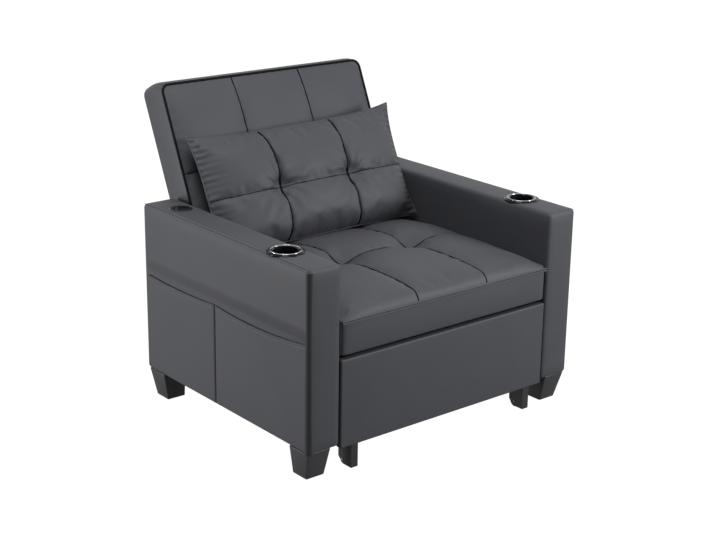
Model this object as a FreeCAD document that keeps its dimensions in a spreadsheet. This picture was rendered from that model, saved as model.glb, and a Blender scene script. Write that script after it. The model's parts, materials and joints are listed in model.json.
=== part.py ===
import FreeCAD, Part
import math
import os

import Sketcher
from FreeCAD import Placement, Rotation, Vector

# Armchair that opens into a bed. Millimetres and degrees.
# X runs to the right seen from the front, the front faces -Y, and Z is up from the floor.
# Formulas for Y are counted from the front faces of the arms, and every helper below adds
# Places.front, which puts the origin under the middle of the whole chair.

SIZES = {
    # whole chair
    "overall_width": 1010,
    "arm_width": 110,
    "arm_depth": 820,
    "arm_height": 615,
    "leg_height": 92,
    "fit_gap": 0.3,
    "pin_gap": 0.05,
    "overrun": 1,
    # arms
    "arm_edge_radius": 12,
    "cover_thickness": 8,
    "board_thickness": 9,
    # legs
    "leg_top": 80,
    "leg_bottom": 62,
    "leg_top_side": 4,
    "leg_bottom_side": 17,
    "front_leg_top_inset": 7,
    "front_leg_inset": 30,
    "rear_leg_top_inset": 6,
    "rear_leg_inset": 25,
    "leg_bolt_radius": 4,
    "leg_bolt_depth": 40,
    "leg_bolt_reach": 8,
    # cup holders
    "cup_setback": 174,
    "cup_radius": 35,
    "cup_draft": 2,
    "cup_wall": 2,
    "cup_depth": 60,
    "cup_flange": 7,
    "cup_flange_height": 1.5,
    "rim_radius": 49,
    "rim_height": 5.5,
    # charging port
    "port_rear": 125,
    "port_radius": 35,
    "port_rise": 3,
    "port_body_radius": 27,
    "port_body_depth": 34,
    "port_dish_radius": 24,
    "port_dish_depth": 6,
    "socket_width": 13,
    "socket_height": 5.6,
    "socket_depth": 14,
    "socket_pitch": 16,
    # side pockets
    "pocket_gap": 5,
    "pocket_panel": 2,
    "pocket_margin": 13,
    "pocket_base": 98,
    "pocket_front_top": 404,
    "pocket_middle_top": 395,
    "pocket_rear_top": 393,
    "pocket_front_sag": 13,
    "pocket_rear_sag": 6,
    "pocket_middle": 445,
    "pocket_hem": 8,
    "pocket_mouth": 8,
    "pocket_ramp": 34,
    "pocket_tuck": 2,
    # fixed seat
    "seat_height": 449,
    "seat_thickness": 100,
    "seat_depth": 655,
    "seat_gap": 0.5,
    "seat_seam_side": 132,
    "seat_seam_depth": 325,
    "seat_dome": 50,
    "seat_side_rise": 9,
    "seat_puff": 7,
    "seat_tuft": 19,
    "seat_front_radius": 7,
    "seat_rear_radius": 20,
    "seat_rear_fall": 140,
    "seat_frame_inset": 30,
    "seat_frame_section": 45,
    "seat_frame_height": 30,
    "seat_deck_thickness": 7,
    "webbing_width": 50,
    "webbing_thickness": 2,
    "seat_support_thickness": 3,
    "seat_support_height": 46,
    "seat_support_width": 42,
    "seat_support_front": 45,
    "seat_support_rear_gap": 15,
    # backrest
    "back_side_gap": 12.5,
    "back_length": 568,
    "back_thickness": 110,
    "recline": 24.08,
    "hinge_seat_gap": 34,
    "hinge_height": 425,
    "bed_height": 450,
    "hinge_inset": 3,
    "back_seam_side": 129,
    "back_seam_height": 285,
    "back_dome": 12,
    "back_puff": 9,
    "back_tuft": 9,
    "back_corner_radius": 8,
    "back_heel_radius": 85,
    "back_top_fall": 40,
    "back_frame_inset": 28,
    "back_frame_foot": 70,
    "back_frame_head": 38,
    "back_frame_section": 22,
    "back_panel_thickness": 4,
    "back_hollow_depth": 45,
    "hinge_plate_thickness": 4,
    "hinge_pin_radius": 6,
    "ratchet_case_radius": 26,
    "hinge_stud_radius": 6,
    "hinge_stud_first": 92,
    "hinge_stud_pitch": 60,
    "hinge_stud_margin": 18,
    "hinge_arm_eye": 16,
    "hinge_arm_rise": 6,
    "hinge_arm_width": 38,
    "hinge_plate_front": 28,
    "hinge_plate_rear": 42,
    "hinge_plate_drop": 74,
    "hinge_plate_foot": 30,
    "hinge_plate_shoulder": 14,
    "hinge_plate_top": 26,
    "hinge_bolt_drop": 62,
    "hinge_bolt_front": 12,
    "hinge_bolt_rear": 26,
    # lumbar pillow
    "pillow_side_gap": 6.5,
    "pillow_height": 377,
    "pillow_edge": 5,
    "pillow_front": 62,
    "pillow_rear": 57,
    "pillow_puff": 13,
    "pillow_tuft": 20,
    "pillow_pull": 14,
    "pillow_seam_side": 125,
    "pillow_seam_height": 172,
    "pillow_lift": 12.4,
    "pillow_offset": 81.7,
    "pillow_turn": -2.8,
    # pull-out base
    "panel_gap": 1.5,
    "panel_base": 77,
    "panel_top": 336,
    "panel_thickness": 22,
    "panel_board": 12,
    "panel_padding": 6,
    "panel_radius": 5,
    "rail_inset": 58,
    "rail_width": 25,
    "rail_height": 40,
    "rail_wall": 2,
    "roller_height": 110,
    "rail_rear_gap": 3,
    "cross_tube": 25,
    "cross_tube_front": 100,
    "cross_tube_rear_gap": 80,
    "base_leg_width": 24,
    "base_leg_front": 6,
    "base_leg_rear": 64,
    "base_leg_foot": 5,
    "base_leg_wall": 2.5,
    "base_leg_notch": 76,
    "base_leg_heel_rise": 6,
    "base_leg_cut_rear": 8,
    "base_leg_cut_drop": 5,
    "base_leg_cut_front": 4,
    "base_leg_cut_depth": 10,
    "base_leg_toe": 16,
    "wheel_radius": 18,
    "wheel_width": 15,
    "wheel_setback": 46,
    "wheel_ease": 2,
    "wheel_play": 0.02,
    "axle_radius": 4,
    "axle_end": 2.5,
    "roller_radius": 13.7,
    "roller_width": 14,
    "roller_rear_gap": 17,
    "guide_front": 24,
    "guide_rear_inset": 20,
    "guide_depth": 26,
    "guide_wall": 2,
    "roller_side_gap": 7,
    # lift of the pull-out deck
    "link_length": 212,
    "link_width": 22,
    "link_thickness": 4,
    "link_gap": 2.5,
    "link_pin_radius": 4,
    "link_foot_height": 120,
    "link_head_height": 198,
    "link_front_foot": 252,
    "link_rear_foot": 622,
    "deck_tube_height": 40,
    "deck_height": 228,
    "deck_front": 40,
    "deck_rear": 622,
    "deck_board": 8,
    "deck_board_inset": 5,
    "base_cushion_side_gap": 45,
    "base_cushion_front": 27,
    "base_cushion_length": 600,
    "base_cushion_thickness": 82,
    "base_cushion_dome": 7,
    "base_cushion_puff": 5,
    "base_cushion_tuft": 6,
    "base_cushion_radius": 18,
    "base_cushion_fall": 60,
    # rear of the body
    "rear_rail_thickness": 15,
    "rear_rail_base": 142,
    "rear_rail_top": 328,
    "rear_cover_thickness": 16,
    "rear_cover_base": 96,
    "rear_cover_radius": 5,
    # bolts
    "bolt_radius": 3.5,
    "bolt_head_radius": 7,
    "bolt_head_height": 3,
    "bolt_reach": 5,
}

PLACES = {
    "front": "0",
    "inner_half": "Sizes.overall_width / 2 - Sizes.arm_width",
    "outer_half": "Sizes.overall_width / 2",
    "arm_middle": "Sizes.overall_width / 2 - Sizes.arm_width / 2",
    "cup_outer": "Sizes.cup_radius + Sizes.cup_wall",
    "seat_base": "Sizes.seat_height - Sizes.seat_thickness",
    "seat_half": "Sizes.overall_width / 2 - Sizes.arm_width - Sizes.seat_gap",
    "pocket_floor": "Sizes.overall_width / 2 - Sizes.pocket_gap - Sizes.pocket_panel",
    "pin_depth": "Sizes.back_thickness - (Sizes.bed_height - Sizes.hinge_height)",
    "hinge_setback": "Sizes.seat_depth + Sizes.hinge_seat_gap",
    "seat_support_rear": "Sizes.seat_depth - Sizes.seat_support_rear_gap",
    "back_half": "Sizes.overall_width / 2 - Sizes.arm_width - Sizes.back_side_gap",
    "pillow_half": "back_half - Sizes.pillow_side_gap",
    "port_setback": "Sizes.arm_depth - Sizes.port_rear",
    "guide_rear": "Sizes.arm_depth - Sizes.guide_rear_inset",
    "roller_setback": "guide_rear - Sizes.roller_rear_gap",
    "rail_end": "guide_rear - Sizes.rail_rear_gap",
    "cross_tube_rear": "guide_rear - Sizes.cross_tube_rear_gap",
    "rail_centre": "Sizes.overall_width / 2 - Sizes.arm_width - Sizes.rail_inset",
    "rail_inner": "rail_centre - Sizes.rail_width / 2",
    "rail_outer": "rail_centre + Sizes.rail_width / 2",
    "base_cushion_half": "Sizes.overall_width / 2 - Sizes.arm_width - Sizes.base_cushion_side_gap",
    "rail_base": "Sizes.roller_height - Sizes.rail_height / 2",
    "rail_top": "Sizes.roller_height + Sizes.rail_height / 2",
    "roller_outer": "Sizes.overall_width / 2 - Sizes.arm_width - Sizes.guide_wall - Sizes.roller_side_gap",
    "guide_half": "Sizes.roller_radius + Sizes.fit_gap",
    "link_outer": "rail_inner - Sizes.link_gap",
    "deck_outer": "rail_inner - 2 * Sizes.link_gap - Sizes.link_thickness",
    "link_run": "sqrt(Sizes.link_length ^ 2 - (Sizes.link_head_height - Sizes.link_foot_height) ^ 2)",
    "link_rise": "asin((Sizes.link_head_height - Sizes.link_foot_height) / Sizes.link_length)",
}
PLACES["back_foot_y"] = (
    "hinge_setback - Sizes.hinge_inset * sin(Sizes.recline)"
    " + (Sizes.back_thickness - Sizes.bed_height + Sizes.hinge_height) * cos(Sizes.recline)"
)
PLACES["back_foot_z"] = (
    "Sizes.hinge_height - Sizes.hinge_inset * cos(Sizes.recline)"
    " - (Sizes.back_thickness - Sizes.bed_height + Sizes.hinge_height) * sin(Sizes.recline)"
)

SIDES = (("left", -1), ("right", 1))
BACK_STRAPS = (0.15, 0.32, 0.68, 0.85)
SEAT_STRAPS = (0.18, 0.34, 0.5, 0.66, 0.82)
BOLT_SHARES = (0.12, 0.5, 0.88)
# The cup ring's outline: how far from the hole's wall, or from the ring's outer edge, and how high,
# as shares of the ring's height.
RIM_OUTER = ((0, 0.4), (-0.45, 0.9))
RIM_INNER = ((0.8, 1), (0.2, 0.8), (0, 0.5))
# How a quilted cover behaves, as shares of its sizes.
GROOVE = 0.015
FINEST = 0.008
WAIST = 0.004
FALL = 0.9
PUFF_SHARES = (0.3, 0.3, 0.4)
PLANES = {
    "front": Rotation(Vector(1, 0, 0), 90),
    "side": Rotation(Vector(1, 1, 1), 120),
    "top": Rotation(),
}

doc = FreeCAD.newDocument("chair_bed")
nodes = {}


def write_sheet(name, cells):
    """A sheet with one named cell to a row."""
    sheet = doc.addObject("Spreadsheet::Sheet", name)
    for row, (alias, content) in enumerate(cells.items(), 1):
        sheet.set(f"A{row}", alias)
        sheet.set(f"B{row}", str(content))
        sheet.setAlias(f"B{row}", alias)
    doc.recompute()
    return sheet


sizes = write_sheet("Sizes", SIZES)
places = write_sheet("Places", {alias: "=" + formula for alias, formula in PLACES.items()})


def size(alias):
    """The number in a cell of the sheet of driving sizes."""
    return float(sizes.get(alias))


def place(alias):
    """The number in a cell of the sheet of places worked out from the sizes."""
    value = places.get(alias)
    return float(getattr(value, "Value", value))


def across(side, inner, outer):
    """The X formulas of a piece between two distances from the middle, on one side."""
    return (f"-({outer})", f"-({inner})") if side < 0 else (inner, outer)


def middle(half):
    """The X formulas of a piece that reaches as far to both sides."""
    return (f"-({half})", half)


def bind_base(item, x, y, z, local=False):
    """Binds the place of an object, with Y counted from the arms' front faces."""
    item.setExpression("Placement.Base.x", str(x))
    item.setExpression("Placement.Base.y", str(y) if local else f"Places.front + ({y})")
    item.setExpression("Placement.Base.z", str(z))


def block(x, y, z, local=False):
    """A rectangular solid between the two formulas given for each direction."""
    solid = doc.addObject("Part::Box", "block")
    for side, (start, end) in (("Length", x), ("Width", y), ("Height", z)):
        solid.setExpression(side, f"({end}) - ({start})")
    bind_base(solid, x[0], y[0], z[0], local)
    return solid


def rod(radius, x, y, z, local=False, flats=0):
    """A round solid, or one with flats, along the direction that is given as two formulas."""
    solid = doc.addObject("Part::Prism" if flats else "Part::Cylinder", "rod")
    if flats:
        solid.Polygon = flats
    turns = (Rotation(Vector(0, 1, 0), 90), Rotation(Vector(1, 0, 0), -90), Rotation())
    base = []
    for direction, turn in zip((x, y, z), turns):
        if isinstance(direction, tuple):
            solid.Placement = Placement(Vector(), turn)
            solid.setExpression("Height", f"({direction[1]}) - ({direction[0]})")
            direction = direction[0]
        base.append(direction)
    solid.setExpression("Circumradius" if flats else "Radius", str(radius))
    bind_base(solid, *base, local)
    return solid


def fused(*pieces):
    """The pieces joined into one solid."""
    whole = doc.addObject("Part::MultiFuse", "fused")
    whole.Shapes = list(pieces)
    return whole


def grouped(*pieces):
    """Separate solids in one object."""
    group = doc.addObject("Part::Compound", "group")
    group.Links = list(pieces)
    return group


def cut(base, *tools):
    """The base without the tools."""
    left = doc.addObject("Part::Cut", "cut")
    left.Base = base
    left.Tool = tools[0] if len(tools) == 1 else grouped(*tools)
    return left


def rounded(base, radius, chosen=lambda edge: True):
    """The base with its chosen edges rounded."""
    doc.recompute()
    fillet = doc.addObject("Part::Fillet", "rounded")
    fillet.Base = base
    edges = enumerate(base.Shape.Edges, 1)
    fillet.Edges = [(number, size(radius), size(radius)) for number, edge in edges if chosen(edge)]
    return fillet


def keep(label, item):
    """Makes the object a sub-part under its name."""
    item.Label = label
    nodes[label] = item
    return item


def draw(sketch, points):
    """A closed outline whose corners are bound to formulas."""
    count = len(points)
    turn = 2 * math.pi / count
    start = [Vector(10 * math.cos(turn * n), 10 * math.sin(turn * n), 0) for n in range(count)]
    for n in range(count):
        sketch.addGeometry(Part.LineSegment(start[n], start[(n + 1) % count]), False)
    for n in range(count):
        sketch.addConstraint(Sketcher.Constraint("Coincident", n, 2, (n + 1) % count, 1))
    for n, corner in enumerate(points):
        for kind, formula, value in zip(("DistanceX", "DistanceY"), corner, start[n]):
            index = sketch.addConstraint(Sketcher.Constraint(kind, -1, 1, n, 1, value))
            sketch.setExpression(f"Constraints[{index}]", str(formula))


def prism(plane, points, start, end, local=False):
    """An outline drawn in a plane and carried between two places square to it."""
    sketch = doc.addObject("Sketcher::SketchObject", "outline")
    sketch.Placement = Placement(Vector(), PLANES[plane])
    base = {"front": (0, end, 0), "side": (start, 0, 0), "top": (0, 0, start)}[plane]
    bind_base(sketch, *base, local)
    draw(sketch, points)
    solid = doc.addObject("Part::Extrusion", "prism")
    solid.Base = sketch
    solid.DirMode = "Normal"
    solid.Solid = True
    solid.setExpression("LengthFwd", f"({end}) - ({start})")
    return solid


def turned(label, points, x, y, z, turn=Rotation()):
    """A solid turned from an outline of radius and height about its own upright axis."""
    body = doc.addObject("PartDesign::Body", label)
    plane = next(item for item in body.Origin.OriginFeatures if item.Role == "XZ_Plane")
    sketch = body.newObject("Sketcher::SketchObject", label + "_outline")
    sketch.AttachmentSupport = [(plane, "")]
    sketch.MapMode = "FlatFace"
    draw(sketch, points)
    revolution = body.newObject("PartDesign::Revolution", label + "_turned")
    revolution.Profile = sketch
    revolution.ReferenceAxis = (sketch, ["V_Axis"])
    revolution.Angle = 360
    body.Placement = Placement(Vector(), turn)
    bind_base(body, x, y, z)
    return body


def swell(share, power):
    """Rises from 0 at both ends to 1 in the middle."""
    return 1 - abs(2 * share - 1) ** power


def corner_drop(distance, radius):
    """How far a rounded end has fallen at a distance from that end."""
    reach = max(radius - distance, 0)
    return radius - math.sqrt(radius**2 - reach**2)


def quilted_stations(length, seam, radii):
    """Where the cross sections of a quilted piece lie along its length."""
    ends = [radius * (1 - math.cos(math.radians(angle))) for radius in radii for angle in (0, 35, 65, 90)]
    tails = [length - end for end in ends]
    groove = length * GROOVE
    rows = [(0, seam), (seam, length)]
    fields = [low + (high - low) * share for low, high in rows for share in (0.1, 0.25, 0.5, 0.75, 0.9)]
    stations = sorted(ends + tails + fields + [seam - groove, seam, seam + groove])
    spread = [stations[0]]
    for station in stations[1:-1]:
        if min(station - spread[-1], length - station) > length * FINEST:
            spread.append(station)
    return spread + [length]


def quilted(
    width, length, thickness, seam_side, seam, dome, side_rise, puff, tuft, fall, top_radii, base_radii,
):
    """A cushion of three columns and two rows, rounded at both ends, that lies on its flat face.

    Its dome falls away gently over the last stretch, whose length is fall.
    """
    sections = []
    for station in quilted_stations(length, seam, {top_radii[0], base_radii[0]}):
        row = station / seam if station < seam else (station - seam) / (length - seam)
        tail = max(station - length + fall, 0) / fall
        rise = swell(station / length, 5) * (1 - FALL * tail**2)
        fullness = swell(row, 4.5)
        drop = corner_drop(station, top_radii[0]) + corner_drop(length - station, top_radii[1])
        base = corner_drop(station, base_radii[0]) + corner_drop(length - station, base_radii[1])
        half = width / 2 - WAIST * width * rise
        edge = thickness - drop + side_rise * rise
        top = thickness - drop + dome * rise
        line = top - tuft * (1 - fullness) * rise
        crown = top + puff * (PUFF_SHARES[0] + (PUFF_SHARES[1] + PUFF_SHARES[2] * fullness) * rise)
        sections.append(section(station, half, seam_side, base, base, edge, line, crown))
    return Part.makeLoft(sections, True, True)


def pillow(width, length, edge, front, rear, puff, tuft, pull, seam_side, seam):
    """A loose pillow with pointed corners, crowned on both faces and tufted on the front one."""
    sections = []
    for station in quilted_stations(length, seam, {edge}):
        row = station / seam if station < seam else (station - seam) / (length - seam)
        rise = swell(station / length, 3)
        fullness = swell(row, 3)
        half = width / 2 - pull * swell(station / length, 2)
        top = edge + front * rise
        line = top - tuft * (1 - fullness) * rise
        crown = top - 0.4 * tuft * (1 - fullness) * rise + puff * (0.15 + 0.85 * rise)
        belly = -rear * rise - edge / 2
        side = edge / 2 * (1 + rise)
        sections.append(section(station, half, seam_side, -edge / 2, belly, side, line, crown))
    return Part.makeLoft(sections, True, True)


def section(station, half, seam_side, base, belly, edge, line, crown):
    """The closed outline across a quilted piece: base, two sides and three crowned columns."""
    def at(x, z):
        return Vector(x, station, z)

    outer = (half + seam_side) / 2
    shoulder = (edge + line) / 2 + max(crown - line, 0.5)
    if belly < base:
        bottom = Part.Arc(at(-half, base), at(0, belly), at(half, base)).toShape()
    else:
        bottom = Part.LineSegment(at(-half, base), at(half, base)).toShape()
    return Part.Wire([
        bottom,
        Part.LineSegment(at(half, base), at(half, edge)).toShape(),
        Part.Arc(at(half, edge), at(outer, shoulder), at(seam_side, line)).toShape(),
        Part.Arc(at(seam_side, line), at(0, crown + 0.5), at(-seam_side, line)).toShape(),
        Part.Arc(at(-seam_side, line), at(-outer, shoulder), at(-half, edge)).toShape(),
        Part.LineSegment(at(-half, edge), at(-half, base)).toShape(),
    ])


def shaped(shape, x=0, y=0, z=0, local=True):
    """An object that holds a shape made from the sizes."""
    item = doc.addObject("Part::Feature", "shaped")
    item.Shape = shape
    item.Placement = Placement()
    bind_base(item, x, y, z, local)
    return item


def on_back(label, item):
    """A sub-part drawn flat and then leaned back with the backrest."""
    holder = grouped(item)
    holder.Placement = Placement(Vector(), Rotation(Vector(1, 0, 0), 60))
    holder.setExpression("Placement.Rotation.Angle", "90 - Sizes.recline")
    bind_base(holder, 0, "Places.back_foot_y", "Places.back_foot_z")
    return keep(label, holder)


def make_back_cushion():
    """The padded front and sides of the backrest, hollow behind for its frame."""
    body = shaped(quilted(
        2 * place("back_half"), size("back_length"), size("back_thickness"),
        size("back_seam_side"), size("back_seam_height"), size("back_dome"), 1,
        size("back_puff"), size("back_tuft"), size("back_top_fall"),
        (size("back_corner_radius"), size("back_corner_radius")),
        (size("back_heel_radius"), size("back_corner_radius")),
    ))
    hollow = block(
        middle("Places.back_half - Sizes.back_frame_inset"),
        ("Sizes.back_frame_foot", "Sizes.back_length - Sizes.back_frame_head"),
        ("-Sizes.back_thickness", "Sizes.back_hollow_depth"), local=True,
    )
    studs = [stud(side, number, "Sizes.hinge_stud_radius + Sizes.fit_gap", "Sizes.overrun")
             for name, side in SIDES for number in (0, 1)]
    return cut(body, hollow, *studs)


def stud(side, number, radius, reach=0):
    """A round stud from the hinge plate through the cushion's side to the backrest frame."""
    inner = f"Places.back_half - Sizes.back_frame_inset - Sizes.fit_gap - {reach}"
    outer = f"Places.back_half + Sizes.fit_gap + {reach}"
    return rod(
        radius, across(side, inner, outer),
        f"Sizes.hinge_stud_first + {number} * Sizes.hinge_stud_pitch",
        "Sizes.back_panel_thickness + Sizes.back_frame_section / 2", local=True,
    )


# The backrest comes first, because its top corner is the rearmost point of the chair.
back_cushion = on_back("back_cushion", make_back_cushion())
doc.recompute()
rearmost = back_cushion.Shape.optimalBoundingBox(False).YMax
places.set(places.getCellFromAlias("front"), str(-rearmost / 2))
doc.recompute()


def make_backrest():
    """Tube frame, webbing, rear panel and the moving plates of the hinges."""
    half = f"Places.back_half - Sizes.back_frame_inset - Sizes.fit_gap"
    foot = "Sizes.back_frame_foot + Sizes.fit_gap"
    head = "Sizes.back_length - Sizes.back_frame_head - Sizes.fit_gap"
    panel = "Sizes.back_panel_thickness"
    tube = "Sizes.back_frame_section"
    on_back("back_rear_panel", block(middle(half), (foot, head), ("0", panel), local=True))
    ring = block(middle(half), (foot, head), (panel, f"{panel} + {tube}"), local=True)
    window = block(
        middle(f"{half} - {tube}"), (f"{foot} + {tube}", f"{head} - {tube}"),
        ("0", f"{panel} + 2 * {tube}"), local=True,
    )
    bar_place = f"(({foot}) + ({head})) / 2"
    bar = block(
        middle(f"{half} - {tube}"), (f"{bar_place} - {tube} / 2", f"{bar_place} + {tube} / 2"),
        (panel, f"{panel} + {tube}"), local=True,
    )
    on_back("back_frame", fused(cut(ring, window), bar))
    straps = []
    for share in BACK_STRAPS:
        centre = f"({foot}) + {share} * (({head}) - ({foot}))"
        straps.append(block(
            middle(half), (f"{centre} - Sizes.webbing_width / 2", f"{centre} + Sizes.webbing_width / 2"),
            (f"{panel} + {tube}", f"{panel} + {tube} + Sizes.webbing_thickness"), local=True,
        ))
    on_back("back_webbing", grouped(*straps))
    pin_y = "Sizes.hinge_inset"
    pin_z = "Places.pin_depth"
    eye = "Sizes.hinge_arm_eye"
    rise = "Sizes.hinge_arm_rise"
    far = "Sizes.hinge_stud_first + Sizes.hinge_stud_pitch + Sizes.hinge_stud_margin"
    outline = [
        (f"{pin_y} - {eye}", f"{pin_z} - 0.75 * {eye}"), (f"{pin_y} - {eye}", f"{pin_z} + 0.75 * {eye}"),
        (f"{pin_y} + 0.75 * {eye}", f"{pin_z} + {eye}"), (far, f"{rise} + Sizes.hinge_arm_width"),
        (far, rise), ("Sizes.hinge_stud_first - Sizes.hinge_stud_margin", rise),
    ]
    for name, side in SIDES:
        inner, outer = across(
            side, "Places.back_half + Sizes.fit_gap",
            "Places.back_half + Sizes.fit_gap + Sizes.hinge_plate_thickness",
        )
        plate = prism("side", outline, inner, outer, local=True)
        hole = rod(
            "Sizes.hinge_pin_radius + Sizes.pin_gap",
            (f"{inner} - Sizes.overrun", f"{outer} + Sizes.overrun"), pin_y, pin_z, local=True,
        )
        studs = [stud(side, number, "Sizes.hinge_stud_radius") for number in (0, 1)]
        on_back(f"hinge_arm_{name}", fused(cut(plate, hole), *studs))


def make_pillow():
    """The loose pillow that leans on the backrest, a little turned."""
    body = shaped(pillow(
        2 * place("pillow_half"), size("pillow_height"), size("pillow_edge"), size("pillow_front"),
        size("pillow_rear"), size("pillow_puff"), size("pillow_tuft"), size("pillow_pull"),
        size("pillow_seam_side"), size("pillow_seam_height"),
    ), 0, "Sizes.pillow_lift", "Sizes.back_thickness + Sizes.pillow_offset")
    body.Placement = Placement(body.Placement.Base, Rotation(Vector(0, 1, 0), size("pillow_turn")))
    body.setExpression("Placement.Rotation.Angle", "Sizes.pillow_turn")
    on_back("lumbar_pillow", body)


def bolt_places():
    """Where the bolts of the hinge plates, seat supports and guide rails cross the arms' inner sides."""
    hinge = "Sizes.hinge_plate_thickness"
    support = "Sizes.seat_support_thickness"
    guide = "Sizes.guide_wall"
    bolts = {"hinge": [], "support": [], "guide": []}
    for along in ("- Sizes.hinge_bolt_front", "+ Sizes.hinge_bolt_rear"):
        drop = "Sizes.hinge_height - Sizes.hinge_bolt_drop"
        bolts["hinge"].append((f"Places.hinge_setback {along}", drop, hinge))
    for share in BOLT_SHARES:
        run = f"Sizes.seat_support_front + {share} * (Places.seat_support_rear - Sizes.seat_support_front)"
        drop = "Places.seat_base - Sizes.seat_support_height / 2"
        bolts["support"].append((run, drop, support))
        run = f"Sizes.guide_front + {share} * (Places.guide_rear - Sizes.guide_front)"
        bolts["guide"].append((run, "Sizes.roller_height", guide))
    return bolts


BOLTS = bolt_places()


def bolt_holes(side, kinds, radius="Sizes.bolt_radius + Sizes.fit_gap"):
    """Round holes for the bolts of these kinds through whatever lies at one arm's inner side."""
    reach = "Sizes.cover_thickness + Sizes.board_thickness + Sizes.bolt_reach"
    inner = "Places.inner_half - 2 * Sizes.hinge_plate_thickness"
    return [
        rod(radius, across(side, inner, f"Places.inner_half + {reach} + Sizes.overrun"), y, z)
        for kind in kinds for y, z, plate in BOLTS[kind]
    ]


def make_bolts():
    """The bolts themselves, with hexagon heads on the plates that they hold."""
    bolts = []
    reach = "Places.inner_half + Sizes.cover_thickness + Sizes.board_thickness + Sizes.bolt_reach"
    for name, side in SIDES:
        for kind in BOLTS.values():
            for y, z, plate in kind:
                seat = f"Places.inner_half - {plate}"
                shank = rod("Sizes.bolt_radius", across(side, seat, reach), y, z)
                head_x = across(side, f"{seat} - Sizes.bolt_head_height", seat)
                head = rod("Sizes.bolt_head_radius", head_x, y, z, flats=6)
                bolts.append(fused(shank, head))
    keep("frame_bolts", grouped(*bolts))


def pocket_recess():
    """The sunk field behind the side pockets, with a slope above their mouths."""
    floor = "-Places.pocket_floor"
    beyond = "-Places.outer_half - Sizes.overrun"
    mouth = "Sizes.pocket_front_top + Sizes.pocket_mouth"
    outline = [
        (beyond, "Sizes.pocket_base"), (floor, "Sizes.pocket_base"),
        (floor, mouth), (beyond, f"{mouth} + Sizes.pocket_ramp"),
    ]
    return prism("front", outline, "Sizes.pocket_margin", "Sizes.arm_depth - Sizes.pocket_margin")


def leg_centre(front):
    """The middle of a leg's foot, as a distance from the side and from the arms' front faces."""
    inward = "Places.outer_half - Sizes.leg_bottom_side - Sizes.leg_bottom / 2"
    if front:
        return inward, "Sizes.front_leg_inset + Sizes.leg_bottom / 2"
    return inward, "Sizes.arm_depth - Sizes.rear_leg_inset - Sizes.leg_bottom / 2"


def signed(side, formula):
    """The X formula of a place on one side."""
    return f"-({formula})" if side < 0 else formula


def leg_bolt(side, front, radius, low, high, flats=0):
    """A round solid, or one with flats, on the upright axis of a leg's bolt."""
    inward, along = leg_centre(front)
    return rod(radius, signed(side, inward), along, (low, high), flats=flats)


def make_arm(name, side):
    """Padded cover and timber carcass of one arm, with its holes."""
    pad = "Sizes.cover_thickness"
    board = "Sizes.board_thickness"
    base = "Sizes.leg_height"
    top = "Sizes.arm_height"
    outer = rounded(block(
        across(side, "Places.inner_half", "Places.outer_half"), ("0", "Sizes.arm_depth"), (base, top),
    ), "arm_edge_radius")
    core_x = across(side, f"Places.inner_half + {pad}", f"Places.outer_half - {pad}")
    core = block(core_x, (pad, f"Sizes.arm_depth - {pad}"), (f"{base} + {pad}", f"{top} - {pad}"))
    room_x = across(side, f"Places.inner_half + {pad} + {board}", f"Places.outer_half - {pad} - {board}")
    room = block(
        room_x, (f"{pad} + {board}", f"Sizes.arm_depth - {pad} - {board}"),
        (f"{base} + {pad} + {board}", f"{top} - {pad} - {board}"),
    )
    over = "Sizes.overrun"
    deep = f"{top} - {pad} - {board} - {over}"
    holes = [rod(
        "Places.cup_outer + Sizes.fit_gap", signed(side, "Places.arm_middle"), "Sizes.cup_setback",
        (deep, f"{top} + {over}"),
    )]
    if side < 0:
        holes.append(rod(
            "Sizes.port_body_radius + Sizes.fit_gap", "-Places.arm_middle", "Places.port_setback",
            (deep, f"{top} + {over}"),
        ))
    for front in (True, False):
        holes.append(leg_bolt(
            side, front, "Sizes.leg_bolt_radius + Sizes.fit_gap",
            f"{base} - {over}", f"{base} + {pad} + {board} + {over}",
        ))
    holes += bolt_holes(side, BOLTS)
    recess = [pocket_recess()] if side < 0 else []
    keep(f"arm_cover_{name}", cut(outer, core, *holes, *recess))
    keep(f"arm_carcass_{name}", cut(core, room, *holes))


def make_leg(name, side, front):
    """A tapered block leg with a blind hole for its bolt."""
    end = "front" if front else "rear"
    taper = doc.addObject("Part::Wedge", "taper")
    taper.Placement = Placement(Vector(), Rotation(Vector(1, 0, 0), 90))
    taper.setExpression("Ymin", "0")
    taper.setExpression("Ymax", "Sizes.leg_height")
    for level, width, inset, along in (
        ("", "Sizes.leg_bottom", "Sizes.leg_bottom_side", f"Sizes.{end}_leg_inset"),
        ("2", "Sizes.leg_top", "Sizes.leg_top_side", f"Sizes.{end}_leg_top_inset"),
    ):
        outer = f"Places.outer_half - {inset}"
        low, high = across(side, f"{outer} - {width}", outer)
        near, far = (along, f"{along} + {width}")
        if not front:
            near, far = (f"Sizes.arm_depth - {along} - {width}", f"Sizes.arm_depth - {along}")
        taper.setExpression(f"X{level}min", low)
        taper.setExpression(f"X{level}max", high)
        taper.setExpression(f"Z{level}min", f"-({far})")
        taper.setExpression(f"Z{level}max", f"-({near})")
    bind_base(taper, 0, 0, 0)
    hole = leg_bolt(
        side, front, "Sizes.leg_bolt_radius + Sizes.fit_gap",
        "Sizes.leg_height - Sizes.leg_bolt_depth - Sizes.overrun", "Sizes.leg_height + Sizes.overrun",
    )
    keep(f"{end}_leg_{name}", cut(taper, hole))


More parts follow.
